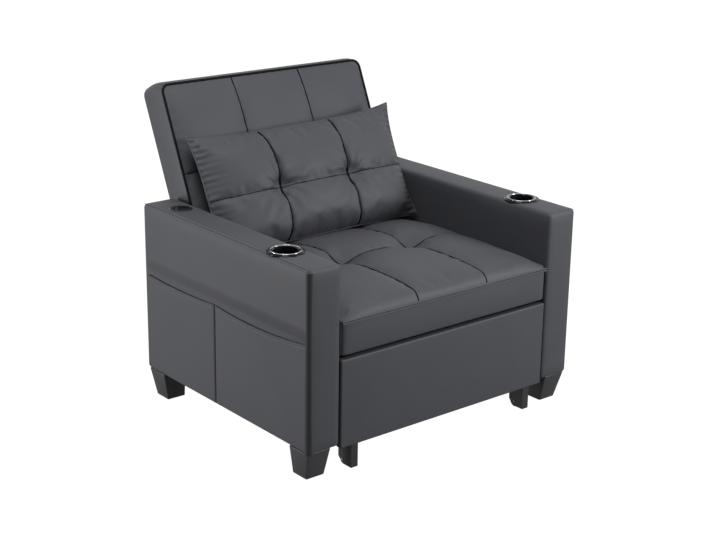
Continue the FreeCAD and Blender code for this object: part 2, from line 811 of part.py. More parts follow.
def make_leg_bolts():
    """The studs that hold the legs, each with a nut inside the carcass."""
    floor = "Sizes.leg_height + Sizes.cover_thickness + Sizes.board_thickness"
    bolts = []
    for name, side in SIDES:
        for front in (True, False):
            shank = leg_bolt(
                side, front, "Sizes.leg_bolt_radius", "Sizes.leg_height - Sizes.leg_bolt_depth",
                f"{floor} + Sizes.leg_bolt_reach",
            )
            nut = leg_bolt(
                side, front, "2 * Sizes.leg_bolt_radius", floor, f"{floor} + Sizes.leg_bolt_radius", flats=6,
            )
            bolts.append(fused(shank, nut))
    keep("leg_bolts", grouped(*bolts))


def make_cup_holder(name, side):
    """A drawn cup with a flange, and the bright ring that lies over the flange."""
    wall = "Sizes.cup_wall"
    inside = "Sizes.cup_radius"
    low = "Sizes.cup_radius - Sizes.cup_draft"
    depth = "Sizes.cup_depth"
    lip = "Sizes.cup_depth + Sizes.cup_flange_height"
    flange = "Places.cup_outer + Sizes.cup_flange"
    cup = turned(f"cup_liner_{name}", [
        (0, 0), (f"{low} + {wall}", 0), ("Places.cup_outer", depth), (flange, depth), (flange, lip),
        (inside, lip), (low, wall), (0, wall),
    ], signed(side, "Places.arm_middle"), "Sizes.cup_setback", "Sizes.arm_height - Sizes.cup_depth")
    keep(f"cup_liner_{name}", cup)
    over = "Sizes.cup_flange_height"
    height = "Sizes.rim_height"
    outline = [(inside, over), (f"{flange} + Sizes.fit_gap", over), (f"{flange} + Sizes.fit_gap", 0),
               ("Sizes.rim_radius", 0)]
    outline += [(f"Sizes.rim_radius + {out} * {height}", f"{up} * {height}") for out, up in RIM_OUTER]
    outline += [(f"{inside} + {out} * {height}", f"{up} * {height}") for out, up in RIM_INNER]
    ring = turned(
        f"cup_rim_{name}", outline, signed(side, "Places.arm_middle"),
        "Sizes.cup_setback", "Sizes.arm_height",
    )
    keep(f"cup_rim_{name}", ring)


def make_port():
    """Round charging port: a glossy disc with a dish and two sockets in its floor."""
    depth = "Sizes.port_body_depth"
    top = f"{depth} + Sizes.port_rise"
    floor = f"{top} - Sizes.port_dish_depth"
    body = turned("port_body", [
        (0, 0), ("Sizes.port_body_radius", 0), ("Sizes.port_body_radius", depth),
        ("Sizes.port_radius", depth), ("Sizes.port_radius", f"{depth} + Sizes.port_rise / 2"),
        ("Sizes.port_radius - Sizes.port_rise", top), ("Sizes.port_dish_radius", top),
        ("Sizes.port_dish_radius", floor), (0, floor),
    ], "-Places.arm_middle", "Places.port_setback", f"Sizes.arm_height - {depth}")
    sockets = []
    height = "Sizes.arm_height + Sizes.port_rise - Sizes.port_dish_depth"
    for step in (-0.5, 0.5):
        along = f"Places.port_setback + {step} * Sizes.socket_pitch"
        sockets.append(block(
            ("-Places.arm_middle - Sizes.socket_width / 2", "-Places.arm_middle + Sizes.socket_width / 2"),
            (f"{along} - Sizes.socket_height / 2", f"{along} + Sizes.socket_height / 2"),
            (f"{height} - Sizes.socket_depth", f"{height} + Sizes.overrun"),
        ))
    keep("port_socket", cut(body, *sockets))


def make_pockets():
    """Two flat pockets on the left arm: sagging panels on a raised binding."""
    front = size("pocket_margin")
    rear = size("arm_depth") - front
    base = size("pocket_base")
    halfway = size("pocket_middle")
    tops = {
        "front": (
            front, halfway, size("pocket_front_top"), size("pocket_middle_top"), size("pocket_front_sag"),
        ),
        "rear": (halfway, rear, size("pocket_middle_top"), size("pocket_rear_top"), size("pocket_rear_sag")),
    }
    for name, (start, end, start_top, end_top, sag) in tops.items():
        start += size("fit_gap") / 2
        end -= size("fit_gap") / 2
        lowest = (start_top + end_top) / 2 - sag
        corners = [Vector(0, start, base), Vector(0, end, base)]
        corners += [Vector(0, end, end_top), Vector(0, start, start_top)]
        edges = [Part.LineSegment(corners[n], corners[n + 1]).toShape() for n in (0, 1)]
        edges.append(Part.Arc(corners[2], Vector(0, (start + end) / 2, lowest), corners[3]).toShape())
        edges.append(Part.LineSegment(corners[3], corners[0]).toShape())
        panel = Part.Face(Part.Wire(edges)).extrude(Vector(-size("pocket_panel"), 0, 0))
        keep(f"pocket_panel_{name}", shaped(panel, "-Places.pocket_floor - Sizes.pocket_gap", local=False))
    x = ("-Places.pocket_floor - Sizes.pocket_gap", "-Places.pocket_floor")
    hem = "Sizes.pocket_hem"
    edge = "Sizes.pocket_margin"
    foot = ("Sizes.pocket_base", f"Sizes.pocket_base + {hem}")
    strips = [block(x, (edge, f"Sizes.arm_depth - {edge}"), foot)]
    for start, top in (
        (edge, "Sizes.pocket_front_top"),
        (f"Sizes.pocket_middle - {hem} / 2", "Sizes.pocket_middle_top"),
        (f"Sizes.arm_depth - {edge} - {hem}", "Sizes.pocket_rear_top"),
    ):
        height = ("Sizes.pocket_base", f"{top} - Sizes.pocket_tuck")
        strips.append(block(x, (start, f"{start} + {hem}"), height))
    keep("pocket_binding", fused(*strips))


def make_seat():
    """The fixed seat: crowned cushion over a timber frame, webbing and bottom board."""
    width = 2 * place("seat_half")
    rounded = size("seat_front_radius")
    body = shaped(quilted(
        width, size("seat_depth"), size("seat_thickness"), size("seat_seam_side"), size("seat_seam_depth"),
        size("seat_dome"), size("seat_side_rise"), size("seat_puff"), size("seat_tuft"),
        size("seat_rear_fall"), (rounded, size("seat_rear_radius")), (rounded, rounded),
    ), 0, 0, "Places.seat_base", local=False)
    inset = "Sizes.seat_frame_inset"
    half = f"Places.seat_half - {inset}"
    rear = f"Sizes.seat_depth - {inset}"
    deck_top = "Places.seat_base + Sizes.seat_deck_thickness"
    frame_top = f"{deck_top} + Sizes.seat_frame_height"
    web_top = f"{frame_top} + Sizes.webbing_thickness"
    gap = "Sizes.fit_gap"
    hollow = block(middle(half), (inset, rear), ("Places.seat_base - Sizes.overrun", f"{web_top} + {gap}"))
    keep("seat_cushion", cut(body, hollow))
    run = (f"{inset} + {gap}", f"{rear} - {gap}")
    reach = f"{half} - {gap}"
    keep("seat_deck", block(middle(reach), run, ("Places.seat_base", deck_top)))
    ring = block(middle(reach), run, (deck_top, frame_top))
    section_width = "Sizes.seat_frame_section"
    window = block(
        middle(f"{reach} - {section_width}"), (f"{run[0]} + {section_width}", f"{run[1]} - {section_width}"),
        (f"{deck_top} - Sizes.overrun", f"{frame_top} + Sizes.overrun"),
    )
    keep("seat_frame", cut(ring, window))
    straps = []
    for share in SEAT_STRAPS:
        centre = f"{share} * Sizes.seat_depth"
        straps.append(block(
            middle(reach), (f"{centre} - Sizes.webbing_width / 2", f"{centre} + Sizes.webbing_width / 2"),
            (frame_top, web_top),
        ))
    keep("seat_webbing", grouped(*straps))


def make_seat_support(name, side):
    """A steel angle on the arm's inner side that the seat rests on."""
    steel = "Sizes.seat_support_thickness"
    inner, outer = "Places.inner_half - Sizes.seat_support_width", "Places.inner_half"
    run = ("Sizes.seat_support_front", "Places.seat_support_rear")
    ledge = block(across(side, inner, outer), run, (f"Places.seat_base - {steel}", "Places.seat_base"))
    wall = block(
        across(side, f"{outer} - {steel}", outer), run,
        ("Places.seat_base - Sizes.seat_support_height", "Places.seat_base"),
    )
    keep(f"seat_support_{name}", cut(fused(ledge, wall), *bolt_holes(side, ["support"])))


def make_hinge(name, side):
    """The fixed plate of a hinge with its ratchet case, bolted to the arm."""
    y = "Places.hinge_setback"
    z = "Sizes.hinge_height"
    plate_x = across(side, "Places.inner_half - Sizes.hinge_plate_thickness", "Places.inner_half")
    front, rear = f"{y} - Sizes.hinge_plate_front", f"{y} + Sizes.hinge_plate_rear"
    low, foot = f"{z} - Sizes.hinge_plate_drop", f"{z} - Sizes.hinge_plate_drop + Sizes.hinge_plate_foot"
    shoulder, high = f"{z} + Sizes.hinge_plate_shoulder", f"{z} + Sizes.hinge_plate_top"
    half_top = "Sizes.hinge_plate_top / 2"
    outline = [
        (front, low), (rear, low), (rear, foot), (f"{y} + Sizes.hinge_plate_top", shoulder),
        (f"{y} + {half_top}", high), (f"{y} - {half_top}", high), (front, shoulder),
    ]
    plate = prism("side", outline, *plate_x)
    play = "Sizes.hinge_plate_thickness + 2 * Sizes.fit_gap"
    case_x = across(
        side, f"Places.back_half + {play}", "Places.inner_half - Sizes.hinge_plate_thickness",
    )
    case = rod("Sizes.ratchet_case_radius", case_x, y, z)
    bore_x = across(side, "Places.back_half", "Places.inner_half + Sizes.overrun")
    bore = rod("Sizes.hinge_pin_radius + Sizes.pin_gap", bore_x, y, z)
    keep(f"hinge_plate_{name}", cut(fused(plate, case), bore, *bolt_holes(side, ["hinge"])))


def make_hinge_pins():
    """The pins that both hinges turn on."""
    pins = [
        rod("Sizes.hinge_pin_radius", across(side, "Places.back_half + Sizes.fit_gap", "Places.inner_half"),
            "Places.hinge_setback", "Sizes.hinge_height")
        for name, side in SIDES
    ]
    keep("hinge_pins", grouped(*pins))


def make_guide_rail(name, side):
    """A steel channel on the arm's inner side that the rear roller runs in."""
    wall = "Sizes.guide_wall"
    run = ("Sizes.guide_front", "Places.guide_rear")
    low = f"Sizes.roller_height - Places.guide_half - {wall}"
    high = f"Sizes.roller_height + Places.guide_half + {wall}"
    x = across(side, "Places.inner_half - Sizes.guide_depth", "Places.inner_half")
    outside = block(x, run, (low, high))
    inside = block(
        across(side, "Places.inner_half - Sizes.guide_depth - Sizes.overrun", f"Places.inner_half - {wall}"),
        ("Sizes.guide_front - Sizes.overrun", "Places.guide_rear + Sizes.overrun"),
        (f"{low} + {wall}", f"{high} - {wall}"),
    )
    keep(f"guide_rail_{name}", cut(outside, inside, *bolt_holes(side, ["guide"])))


def make_rear():
    """The timber rail between the arms at the rear and its padded cover."""
    cover_front = "Places.guide_rear"
    rail = block(
        middle("Places.inner_half"), (f"{cover_front} - Sizes.rear_rail_thickness", cover_front),
        ("Sizes.rear_rail_base", "Sizes.rear_rail_top"),
    )
    keep("rear_rail", rail)
    rear = place("guide_rear") + size("rear_cover_thickness") + place("front")
    cover = block(
        middle("Places.inner_half"), (cover_front, f"{cover_front} + Sizes.rear_cover_thickness"),
        ("Sizes.rear_cover_base", "Sizes.rear_rail_top"),
    )
    keep("rear_cover", rounded(
        cover, "rear_cover_radius",
        lambda edge: edge.BoundBox.YMin > rear - 0.1 and edge.BoundBox.XLength > edge.BoundBox.ZLength,
    ))


def make_front_panel():
    """The board of the pull-out front and the padded cover wrapped round it."""
    half = "Places.inner_half - Sizes.panel_gap"
    board_front = "Sizes.panel_thickness - Sizes.panel_board"
    pad = "Sizes.panel_padding"
    board = block(
        middle(f"{half} - {pad}"), (board_front, "Sizes.panel_thickness"),
        (f"Sizes.panel_base + {pad}", f"Sizes.panel_top - {pad}"),
    )
    outside = block(middle(half), ("0", "Sizes.panel_thickness"), ("Sizes.panel_base", "Sizes.panel_top"))
    front = place("front")
    soft = rounded(outside, "panel_radius", lambda edge: edge.BoundBox.YMin < front + 0.1)
    keep("front_panel_board", board)
    keep("front_panel_cover", cut(soft, board))


def tube(x, y, z, wall, along):
    """A rectangular tube with open ends."""
    ranges = []
    for name, (start, end) in (("x", x), ("y", y), ("z", z)):
        trim = "-Sizes.overrun" if name == along else wall
        ranges.append((f"({start}) + ({trim})", f"({end}) - ({trim})"))
    return block(x, y, z), block(*ranges)


def make_chassis():
    """Two rails and two cross tubes that carry the pull-out base."""
    run = ("Sizes.panel_thickness", "Places.rail_end")
    for name, side in SIDES:
        outside, inside = tube(
            across(side, "Places.rail_inner", "Places.rail_outer"), run,
            ("Places.rail_base", "Places.rail_top"), "Sizes.rail_wall", "y",
        )
        feet = [link_pin(side, foot, "foot", "Sizes.link_pin_radius + Sizes.pin_gap", "Sizes.overrun")
                for foot in ("front", "rear")]
        axle_hole = rod(
            "Sizes.axle_radius + Sizes.pin_gap",
            across(side, "Places.rail_centre", "Places.rail_outer + Sizes.overrun"),
            "Places.roller_setback", "Sizes.roller_height",
        )
        keep(f"chassis_rail_{name}", cut(outside, inside, *feet, axle_hole))
    crosses = []
    for along in ("Sizes.cross_tube_front", "Places.cross_tube_rear"):
        outside, inside = tube(
            middle("Places.rail_inner"), (along, f"{along} + Sizes.cross_tube"),
            ("Places.rail_base", "Places.rail_base + Sizes.cross_tube"), "Sizes.rail_wall", "x",
        )
        crosses.append(cut(outside, inside))
    keep("chassis_cross_tubes", grouped(*crosses))


def make_base_leg(name, side):
    """A folded steel channel under the front of the chassis, open behind and below for its wheel."""
    near, far = "Sizes.base_leg_front", "Sizes.base_leg_rear"
    foot = "Sizes.base_leg_foot"
    behind = "Sizes.panel_thickness"
    axle = "Sizes.wheel_radius"
    outline = [
        (near, foot), (near, "Sizes.base_leg_notch"), (behind, "Sizes.base_leg_notch"),
        (behind, "Places.rail_base"), (far, "Places.rail_base"), (far, f"{axle} + Sizes.base_leg_heel_rise"),
        ("Sizes.wheel_setback + Sizes.base_leg_cut_rear", f"{axle} - Sizes.base_leg_cut_drop"),
        ("Sizes.wheel_setback - Sizes.base_leg_cut_front", f"{axle} - Sizes.base_leg_cut_depth"),
        ("Sizes.wheel_setback - Sizes.base_leg_toe", foot),
    ]
    half = "Sizes.base_leg_width / 2"
    wall = "Sizes.base_leg_wall"
    outer_x = across(side, f"Places.rail_centre - {half}", f"Places.rail_centre + {half}")
    inner_x = across(side, f"Places.rail_centre - {half} + {wall}", f"Places.rail_centre + {half} - {wall}")
    folded = prism("side", outline, *outer_x)
    over = "Sizes.overrun"
    inside_top = f"Sizes.base_leg_notch - {wall}"
    inside = block(inner_x, (f"{near} + {wall}", f"{far} + {over}"), (f"-{over}", inside_top))
    upper = block(
        inner_x, (f"{behind} + {wall}", f"{far} + {over}"), (inside_top, f"Places.rail_base - {wall}"),
    )
    bore_x = (f"{outer_x[0]} - {over}", f"{outer_x[1]} + {over}")
    bore = rod("Sizes.axle_radius + Sizes.pin_gap", bore_x, "Sizes.wheel_setback", axle)
    keep(f"base_leg_{name}", cut(folded, inside, upper, bore))


def make_axles():
    """The axles of the two wheels and of the two rear rollers."""
    half = "Sizes.base_leg_width / 2 + Sizes.axle_end"
    axles = []
    for name, side in SIDES:
        axles.append(rod(
            "Sizes.axle_radius", across(side, f"Places.rail_centre - {half}", f"Places.rail_centre + {half}"),
            "Sizes.wheel_setback", "Sizes.wheel_radius",
        ))
        axles.append(rod(
            "Sizes.axle_radius",
            across(side, "Places.rail_centre + Sizes.overrun", "Places.roller_outer + Sizes.axle_end"),
            "Places.roller_setback", "Sizes.roller_height",
        ))
    keep("wheel_axles", grouped(*axles))


def make_wheel(label, side, radius, width, outer, along, height):
    """A solid wheel with a running bore and eased rims, turned about X."""
    bore = "Sizes.axle_radius + Sizes.pin_gap + Sizes.wheel_play"
    ease = "Sizes.wheel_ease"
    start = f"{outer} - {width}" if side > 0 else f"-({outer})"
    wheel = turned(label, [
        (bore, 0), (f"{radius} - {ease}", 0), (radius, ease), (radius, f"{width} - {ease}"),
        (f"{radius} - {ease}", width), (bore, width),
    ], start, along, height, Rotation(Vector(0, 1, 0), 90))
    keep(label, wheel)


def link_pin(side, which, end, radius, reach=0):
    """A pin through one end of a lift link, or the hole for it."""
    foot = f"Sizes.link_{which}_foot"
    if end == "foot":
        inner = f"Places.link_outer - Sizes.link_thickness - {reach}"
        x = across(side, inner, "Places.rail_inner + 2 * Sizes.rail_wall")
        return rod(radius, x, foot, "Sizes.link_foot_height")
    x = across(side, f"Places.deck_outer - 2 * Sizes.rail_wall - {reach}", f"Places.link_outer + {reach}")
    return rod(radius, x, f"{foot} - Places.link_run", "Sizes.link_head_height")


def make_lift():
    """Four equal links, folded low, that carry the deck up when the base is out, and their pins."""
    links = []
    pins = []
    thick = "Sizes.link_thickness"
    for name, side in SIDES:
        for which in ("front", "rear"):
            x = ("0", thick)
            eye = "Sizes.link_width / 2"
            bar = block(x, ("0", "Sizes.link_length"), (f"-{eye}", eye), local=True)
            ends = [rod(eye, x, place_y, 0, local=True) for place_y in ("0", "Sizes.link_length")]
            hole = "Sizes.link_pin_radius + Sizes.pin_gap"
            holes = [rod(hole, ("-Sizes.overrun", f"{thick} + Sizes.overrun"), place_y, 0, local=True)
                     for place_y in ("0", "Sizes.link_length")]
            link = cut(fused(bar, *ends), *holes)
            link.Placement = Placement(Vector(), Rotation(Vector(1, 0, 0), 150))
            link.setExpression("Placement.Rotation.Angle", "180 deg - Places.link_rise")
            inner = across(side, f"Places.link_outer - {thick}", "Places.link_outer")[0]
            bind_base(link, inner, f"Sizes.link_{which}_foot", "Sizes.link_foot_height")
            links.append(link)
            pins += [link_pin(side, which, end, "Sizes.link_pin_radius") for end in ("foot", "head")]
    keep("lift_links", grouped(*links))
    keep("lift_pins", grouped(*pins))


def make_deck():
    """The deck that the hidden cushion lies on: two side tubes, three cross tubes and a board."""
    low = "Sizes.deck_height - Sizes.deck_tube_height"
    run = ("Sizes.deck_front", "Sizes.deck_rear")
    inner = "Places.deck_outer - Sizes.cross_tube"
    sides = []
    for name, side in SIDES:
        outside, inside = tube(
            across(side, inner, "Places.deck_outer"), run, (low, "Sizes.deck_height"), "Sizes.rail_wall", "y",
        )
        heads = [link_pin(side, which, "head", "Sizes.link_pin_radius + Sizes.pin_gap", "Sizes.overrun")
                 for which in ("front", "rear")]
        sides.append(cut(outside, inside, *heads))
    keep("deck_side_tubes", grouped(*sides))
    crosses = []
    for share in (0, 0.5, 1):
        along = f"Sizes.deck_front + {share} * (Sizes.deck_rear - Sizes.deck_front - Sizes.cross_tube)"
        outside, inside = tube(
            middle(inner), (along, f"{along} + Sizes.cross_tube"),
            ("Sizes.deck_height - Sizes.cross_tube", "Sizes.deck_height"), "Sizes.rail_wall", "x",
        )
        crosses.append(cut(outside, inside))
    keep("deck_cross_tubes", grouped(*crosses))
    half = "Places.base_cushion_half - Sizes.deck_board_inset"
    board_top = "Sizes.deck_height + Sizes.deck_board"
    start = "Sizes.base_cushion_front + Sizes.deck_board_inset"
    end = "Sizes.base_cushion_front + Sizes.base_cushion_length - Sizes.deck_board_inset"
    keep("base_deck", block(middle(half), (start, end), ("Sizes.deck_height", board_top)))
    radius = size("base_cushion_radius")
    cushion = shaped(quilted(
        2 * place("base_cushion_half"), size("base_cushion_length"), size("base_cushion_thickness"),
        size("seat_seam_side"), size("base_cushion_length") / 2, size("base_cushion_dome"), 2,
        size("base_cushion_puff"), size("base_cushion_tuft"), size("base_cushion_fall"),
        (radius, radius), (radius / 2, radius / 2),
    ), 0, "Sizes.base_cushion_front", board_top, local=False)
    keep("base_cushion", cushion)


def check_document():
    """Stops if any object failed or any sub-part has no valid solid."""
    failed = [item for item in doc.Objects if "Invalid" in item.State or "Error" in item.State]
    if failed:
        raise RuntimeError("failed: " + ", ".join(f"{item.Name} {item.getStatusString()}" for item in failed))
    for label, item in nodes.items():
        shape = item.Shape
        if shape.isNull() or not shape.isValid() or not shape.Solids:
            raise RuntimeError(f"{label} has no valid solid")


make_backrest()
make_pillow()
for arm_name, arm_side in SIDES:
    make_arm(arm_name, arm_side)
    make_leg(arm_name, arm_side, True)
    make_leg(arm_name, arm_side, False)
    make_cup_holder(arm_name, arm_side)
    make_seat_support(arm_name, arm_side)
    make_hinge(arm_name, arm_side)
    make_guide_rail(arm_name, arm_side)
    make_base_leg(arm_name, arm_side)
    make_wheel(
        f"wheel_{arm_name}", arm_side, "Sizes.wheel_radius", "Sizes.wheel_width",
        "Places.rail_centre + Sizes.wheel_width / 2", "Sizes.wheel_setback", "Sizes.wheel_radius",
    )
    make_wheel(
        f"roller_{arm_name}", arm_side, "Sizes.roller_radius", "Sizes.roller_width",
        "Places.roller_outer", "Places.roller_setback", "Sizes.roller_height",
    )
make_leg_bolts()
make_port()
make_pockets()
make_seat()
make_hinge_pins()
make_bolts()
make_rear()
make_front_panel()
make_chassis()
make_axles()
make_lift()
make_deck()
doc.recompute()
check_document()

os.makedirs("parts", exist_ok=True)
for label, item in nodes.items():
    item.Shape.exportStep(os.path.join("parts", label + ".step"))
bounds = Part.makeCompound([item.Shape for item in nodes.values()]).BoundBox
print(len(nodes), "sub-parts", bounds)
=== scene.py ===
"""Looks of an armchair that opens into a bed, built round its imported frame.

Metres and radians. X runs to the right seen from the front, the front faces -Y and Z is up.
A padded cover starts as a closed box with edge loops beside its seams. It is bent to the
cushion's crown, stuffed by cloth simulation with the seams held, and then smoothed.
"""
import json
import math

import bpy
from mathutils import Matrix, Vector, noise


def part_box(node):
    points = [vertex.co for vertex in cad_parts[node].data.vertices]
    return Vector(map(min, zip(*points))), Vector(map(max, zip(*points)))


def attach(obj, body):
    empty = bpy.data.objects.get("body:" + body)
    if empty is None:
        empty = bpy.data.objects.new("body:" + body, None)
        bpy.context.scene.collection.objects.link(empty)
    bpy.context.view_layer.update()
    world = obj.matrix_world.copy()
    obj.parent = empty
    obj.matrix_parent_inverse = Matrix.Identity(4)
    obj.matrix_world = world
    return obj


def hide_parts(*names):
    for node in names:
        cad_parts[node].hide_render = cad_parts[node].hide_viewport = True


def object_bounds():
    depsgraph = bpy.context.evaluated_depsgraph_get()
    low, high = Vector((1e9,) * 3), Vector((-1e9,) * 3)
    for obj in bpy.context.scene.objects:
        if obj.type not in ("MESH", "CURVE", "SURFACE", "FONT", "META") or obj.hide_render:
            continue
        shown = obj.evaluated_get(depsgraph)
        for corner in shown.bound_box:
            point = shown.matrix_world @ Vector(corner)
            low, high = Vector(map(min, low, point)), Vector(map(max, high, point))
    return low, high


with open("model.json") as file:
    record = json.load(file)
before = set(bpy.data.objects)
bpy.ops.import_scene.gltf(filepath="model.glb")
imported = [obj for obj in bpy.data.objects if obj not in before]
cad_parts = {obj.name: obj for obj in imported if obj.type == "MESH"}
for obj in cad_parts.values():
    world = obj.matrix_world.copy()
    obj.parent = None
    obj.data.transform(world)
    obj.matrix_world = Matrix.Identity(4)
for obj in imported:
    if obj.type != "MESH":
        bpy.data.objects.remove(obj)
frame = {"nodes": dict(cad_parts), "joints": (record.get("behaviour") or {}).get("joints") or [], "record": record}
cad_low, cad_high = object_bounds()
FRONT = cad_low.y


# ---------------------------------------------------------------- sizes of the chair

def joint_place(name):
    """The place of one of the frame's joints."""
    return Vector(next(joint for joint in frame["joints"] if joint["name"] == name)["pos_m"])


RECLINE = math.radians(24.08)
BACK_THICKNESS = 0.110
BACK_LENGTH = 0.568
BACK_HALF = 0.3825
HINGE_INSET = 0.003
HINGE_DEPTH = 0.085
BACK_UP = Vector((0, math.sin(RECLINE), math.cos(RECLINE)))
BACK_OUT = Vector((0, -math.cos(RECLINE), math.sin(RECLINE)))
BACK_FOOT = joint_place("back_recline") - HINGE_INSET * BACK_UP - HINGE_DEPTH * BACK_OUT
BACK_FRAME = Matrix.Translation(BACK_FOOT) @ Matrix((
    (1, 0, 0, 0), (0, BACK_UP.y, BACK_OUT.y, 0), (0, BACK_UP.z, BACK_OUT.z, 0), (0, 0, 0, 1),
))
BACK_SEAM_SIDE = 0.129
BACK_SEAM_HEIGHT = 0.285
BACK_CORNER = 0.025
BACK_EDGE = 0.005
BACK_CROWN = 0.021
BACK_PINCH = 0.009
BACK_PINCH_REACH = 0.035
HEEL_RADIUS = 0.085
PIPING = 0.0042
PIPING_DROP = 0.005

PILLOW_HALF = 0.376
PILLOW_HEIGHT = 0.377
PILLOW_SEAM_SIDE = 0.132
PILLOW_SEAM_HEIGHT = 0.170
PILLOW_LIFT = 0.0124
PILLOW_OFFSET = 0.0817
PILLOW_TURN = math.radians(-2.8)
PILLOW_ROLL = math.radians(0.3)
PILLOW_EDGE = 0.0025
PILLOW_LEAN = 0.03
PILLOW_FRONT = 0.070
PILLOW_REAR = 0.052
PILLOW_PINCH = 0.022
PILLOW_PINCH_REACH = 0.038
PILLOW_CLEARANCE = 0.008
GATHER_PITCH = 0.019
PILLOW_PLACE = (
    Matrix.Translation((0, PILLOW_LIFT, BACK_THICKNESS + PILLOW_OFFSET))
    @ Matrix.Rotation(PILLOW_TURN, 4, "Y") @ Matrix.Rotation(PILLOW_ROLL, 4, "Z")
)
PILLOW_FRAME = BACK_FRAME @ PILLOW_PLACE

SEAT_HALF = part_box("seat_cushion")[1].x
SEAT_EDGE = 0.449
SEAT_DEPTH = 0.655
SEAT_CROWN = 0.051
SEAT_SEAM_SIDE = 0.132
SEAT_SEAM_DEPTH = 0.329
SEAT_CORNER = 0.020
SEAT_PINCH = 0.024
SEAT_PINCH_REACH = 0.054
SEAT_FRAME_INSET = 0.030
SEAM_END = 0.640

GROOVE = 0.0022
GROOVE_WIDTH = 0.0045
ON_LINE = 0.001

ARM_DEPTH = 0.820
ARM_EDGE = 0.012
ARM_SAG = 0.005
WELT_INSET = 0.006
CUP_SETBACK = 0.174
CUP_HOLE = 0.0373
CUP_HOLE_DEPTH = 0.066
PORT_SETBACK = 0.695
PORT_HOLE = 0.0274
PORT_HOLE_DEPTH = 0.0365
POCKET_BASE = 0.098 - ARM_SAG
POCKET_MARGIN = 0.013
POCKET_MOUTH = 0.412
POCKET_RAMP = 0.034
POCKET_FIELD = 0.007
POCKET_MIDDLE = 0.445
POCKET_FLOOR = -0.4985
POCKET_FLUSH = -0.5044
POCKET_WALL = 0.0014

BOARD_INSET = 0.0015
BOARD_HEM = 0.0062
LEG_EDGE = 0.003

SIDES = (("left", -1), ("right", 1))
DOWN = Vector((0, 0, -1))
TINY = 1e-6

# Each lamp: its name, place, aim, width and power. The camera's turns are to the left, down and roll.
LAMPS = (
    ("key", (1.8, -2.9, 1.5), (0, 0, 0.5), 1.2, 88),
    ("top", (-0.8, -0.6, 3.2), (0, 0, 0.4), 1.6, 47),
    ("left", (-3.0, 1.4, 0.35), (0, 0, 0.4), 1.0, 70),
)
CAMERA_PLACE = (-2.74765, FRONT - 2.92143, 1.83012)
CAMERA_TURNS = (-39.5, 90 - 18.18, 0.85)
CAMERA_LENS = 75.02
FLOOR_GREY = (0.12, 0.12, 0.12, 1)
FILL_LIGHT = 0.13


# ---------------------------------------------------------------- modelling helpers

def select_only(*chosen):
    """Selects these objects and nothing else, and makes the first one active."""
    bpy.ops.object.select_all(action="DESELECT")
    for item in chosen:
        item.select_set(True)
    bpy.context.view_layer.objects.active = chosen[0]


def named(name):
    """Names the active object and its mesh."""
    item = bpy.context.object
    item.name = name
    item.data.name = name
    return item


def stations(low, high, step, seams=(), ends=(0.003, 0.007), beside=(0.002, 0.005, 0.010)):
    """Places for edge loops between two limits: a step apart, closer at the ends and beside seams."""
    close = {low + end for end in ends} | {high - end for end in ends} | set(seams)
    close |= {seam + side * gap for seam in seams for gap in beside for _, side in SIDES}
    count = max(round((high - low) / step), 1)
    even = [low + (high - low) * number / count for number in range(1, count)]
    spaced = [place for place in even if all(abs(place - other) > 0.45 * step for other in close)]
    return sorted(place for place in [*close, *spaced] if low < place < high)


def cut_box(name, low, high, cuts, through=2):
    """A closed box with edge loops at the given places along X, Y and Z.

    It starts as a grid square to the axis named by through, and is extruded along it loop by loop.
    """
    lines = [[low[axis], *cuts[axis], high[axis]] for axis in range(3)]
    across, along = (through + 1) % 3, (through + 2) % 3
    counts = len(lines[across]) - 1, len(lines[along]) - 1
    bpy.ops.object.select_all(action="DESELECT")
    bpy.ops.mesh.primitive_grid_add(x_subdivisions=counts[0], y_subdivisions=counts[1], size=1)
    piece = named(name)
    bpy.ops.object.mode_set(mode="EDIT")
    bpy.ops.mesh.select_all(action="SELECT")
    for layer in lines[through][1:]:
        bpy.ops.mesh.extrude_region_move(TRANSFORM_OT_translate={"value": (0, 0, 1)})
    bpy.ops.mesh.select_all(action="SELECT")
    bpy.ops.mesh.normals_make_consistent(inside=False)
    bpy.ops.object.mode_set(mode="OBJECT")
    for vertex in piece.data.vertices:
        point = vertex.co.copy()
        vertex.co[across] = lines[across][round((point.x + 0.5) * counts[0])]
        vertex.co[along] = lines[along][round((point.y + 0.5) * counts[1])]
        vertex.co[through] = lines[through][round(point.z)]
    return piece


def reshape(piece, rule):
    """Moves every vertex by a rule, and returns where they were."""
    flat = [vertex.co.copy() for vertex in piece.data.vertices]
    for vertex, point in zip(piece.data.vertices, flat):
        vertex.co = rule(point)
    return flat


def eased(point, low, high, radius):
    """A point on or in a box, moved so that the box's edges have this radius."""
    core = Vector(min(max(value, a + radius), b - radius) for value, a, b in zip(point, low, high))
    out = point - core
    reach = max(abs(value) for value in out)
    if reach == 0:
        return point.copy()
    return core + out * (reach / out.length)


def plan_rounded(across, along, half, length, radius):
    """Rounds the corners of a rectangle for a point on or inside it."""
    centre_x = math.copysign(min(abs(across), half - radius), across)
    centre_y = min(max(along, radius), length - radius)
    dx, dy = across - centre_x, along - centre_y
    if dx == 0 or dy == 0:
        return across, along
    scale = max(abs(dx), abs(dy)) / math.hypot(dx, dy)
    return centre_x + dx * scale, centre_y + dy * scale


def rise(distance, reach, power=1.0):
    """Grows from 0 at an edge towards 1 with the distance from it."""
    return 1 - math.exp(-(max(distance, 0) / reach) ** power)


def dip(distance, width):
    """1 on a line or point and 0 well beside it."""
    return math.exp(-(distance / width) ** 2)


def puckers(across, along, folds, reach):
    """Folds that run out from a pinched point, strongest a little way from it."""
    away = math.hypot(across, along)
    turn = math.atan2(along, across) + 0.35 * noise.noise(Vector((across * 14, along * 14, folds)))
    return math.cos(folds * turn + 0.7) * (away / reach) * math.exp(1 - away / reach)


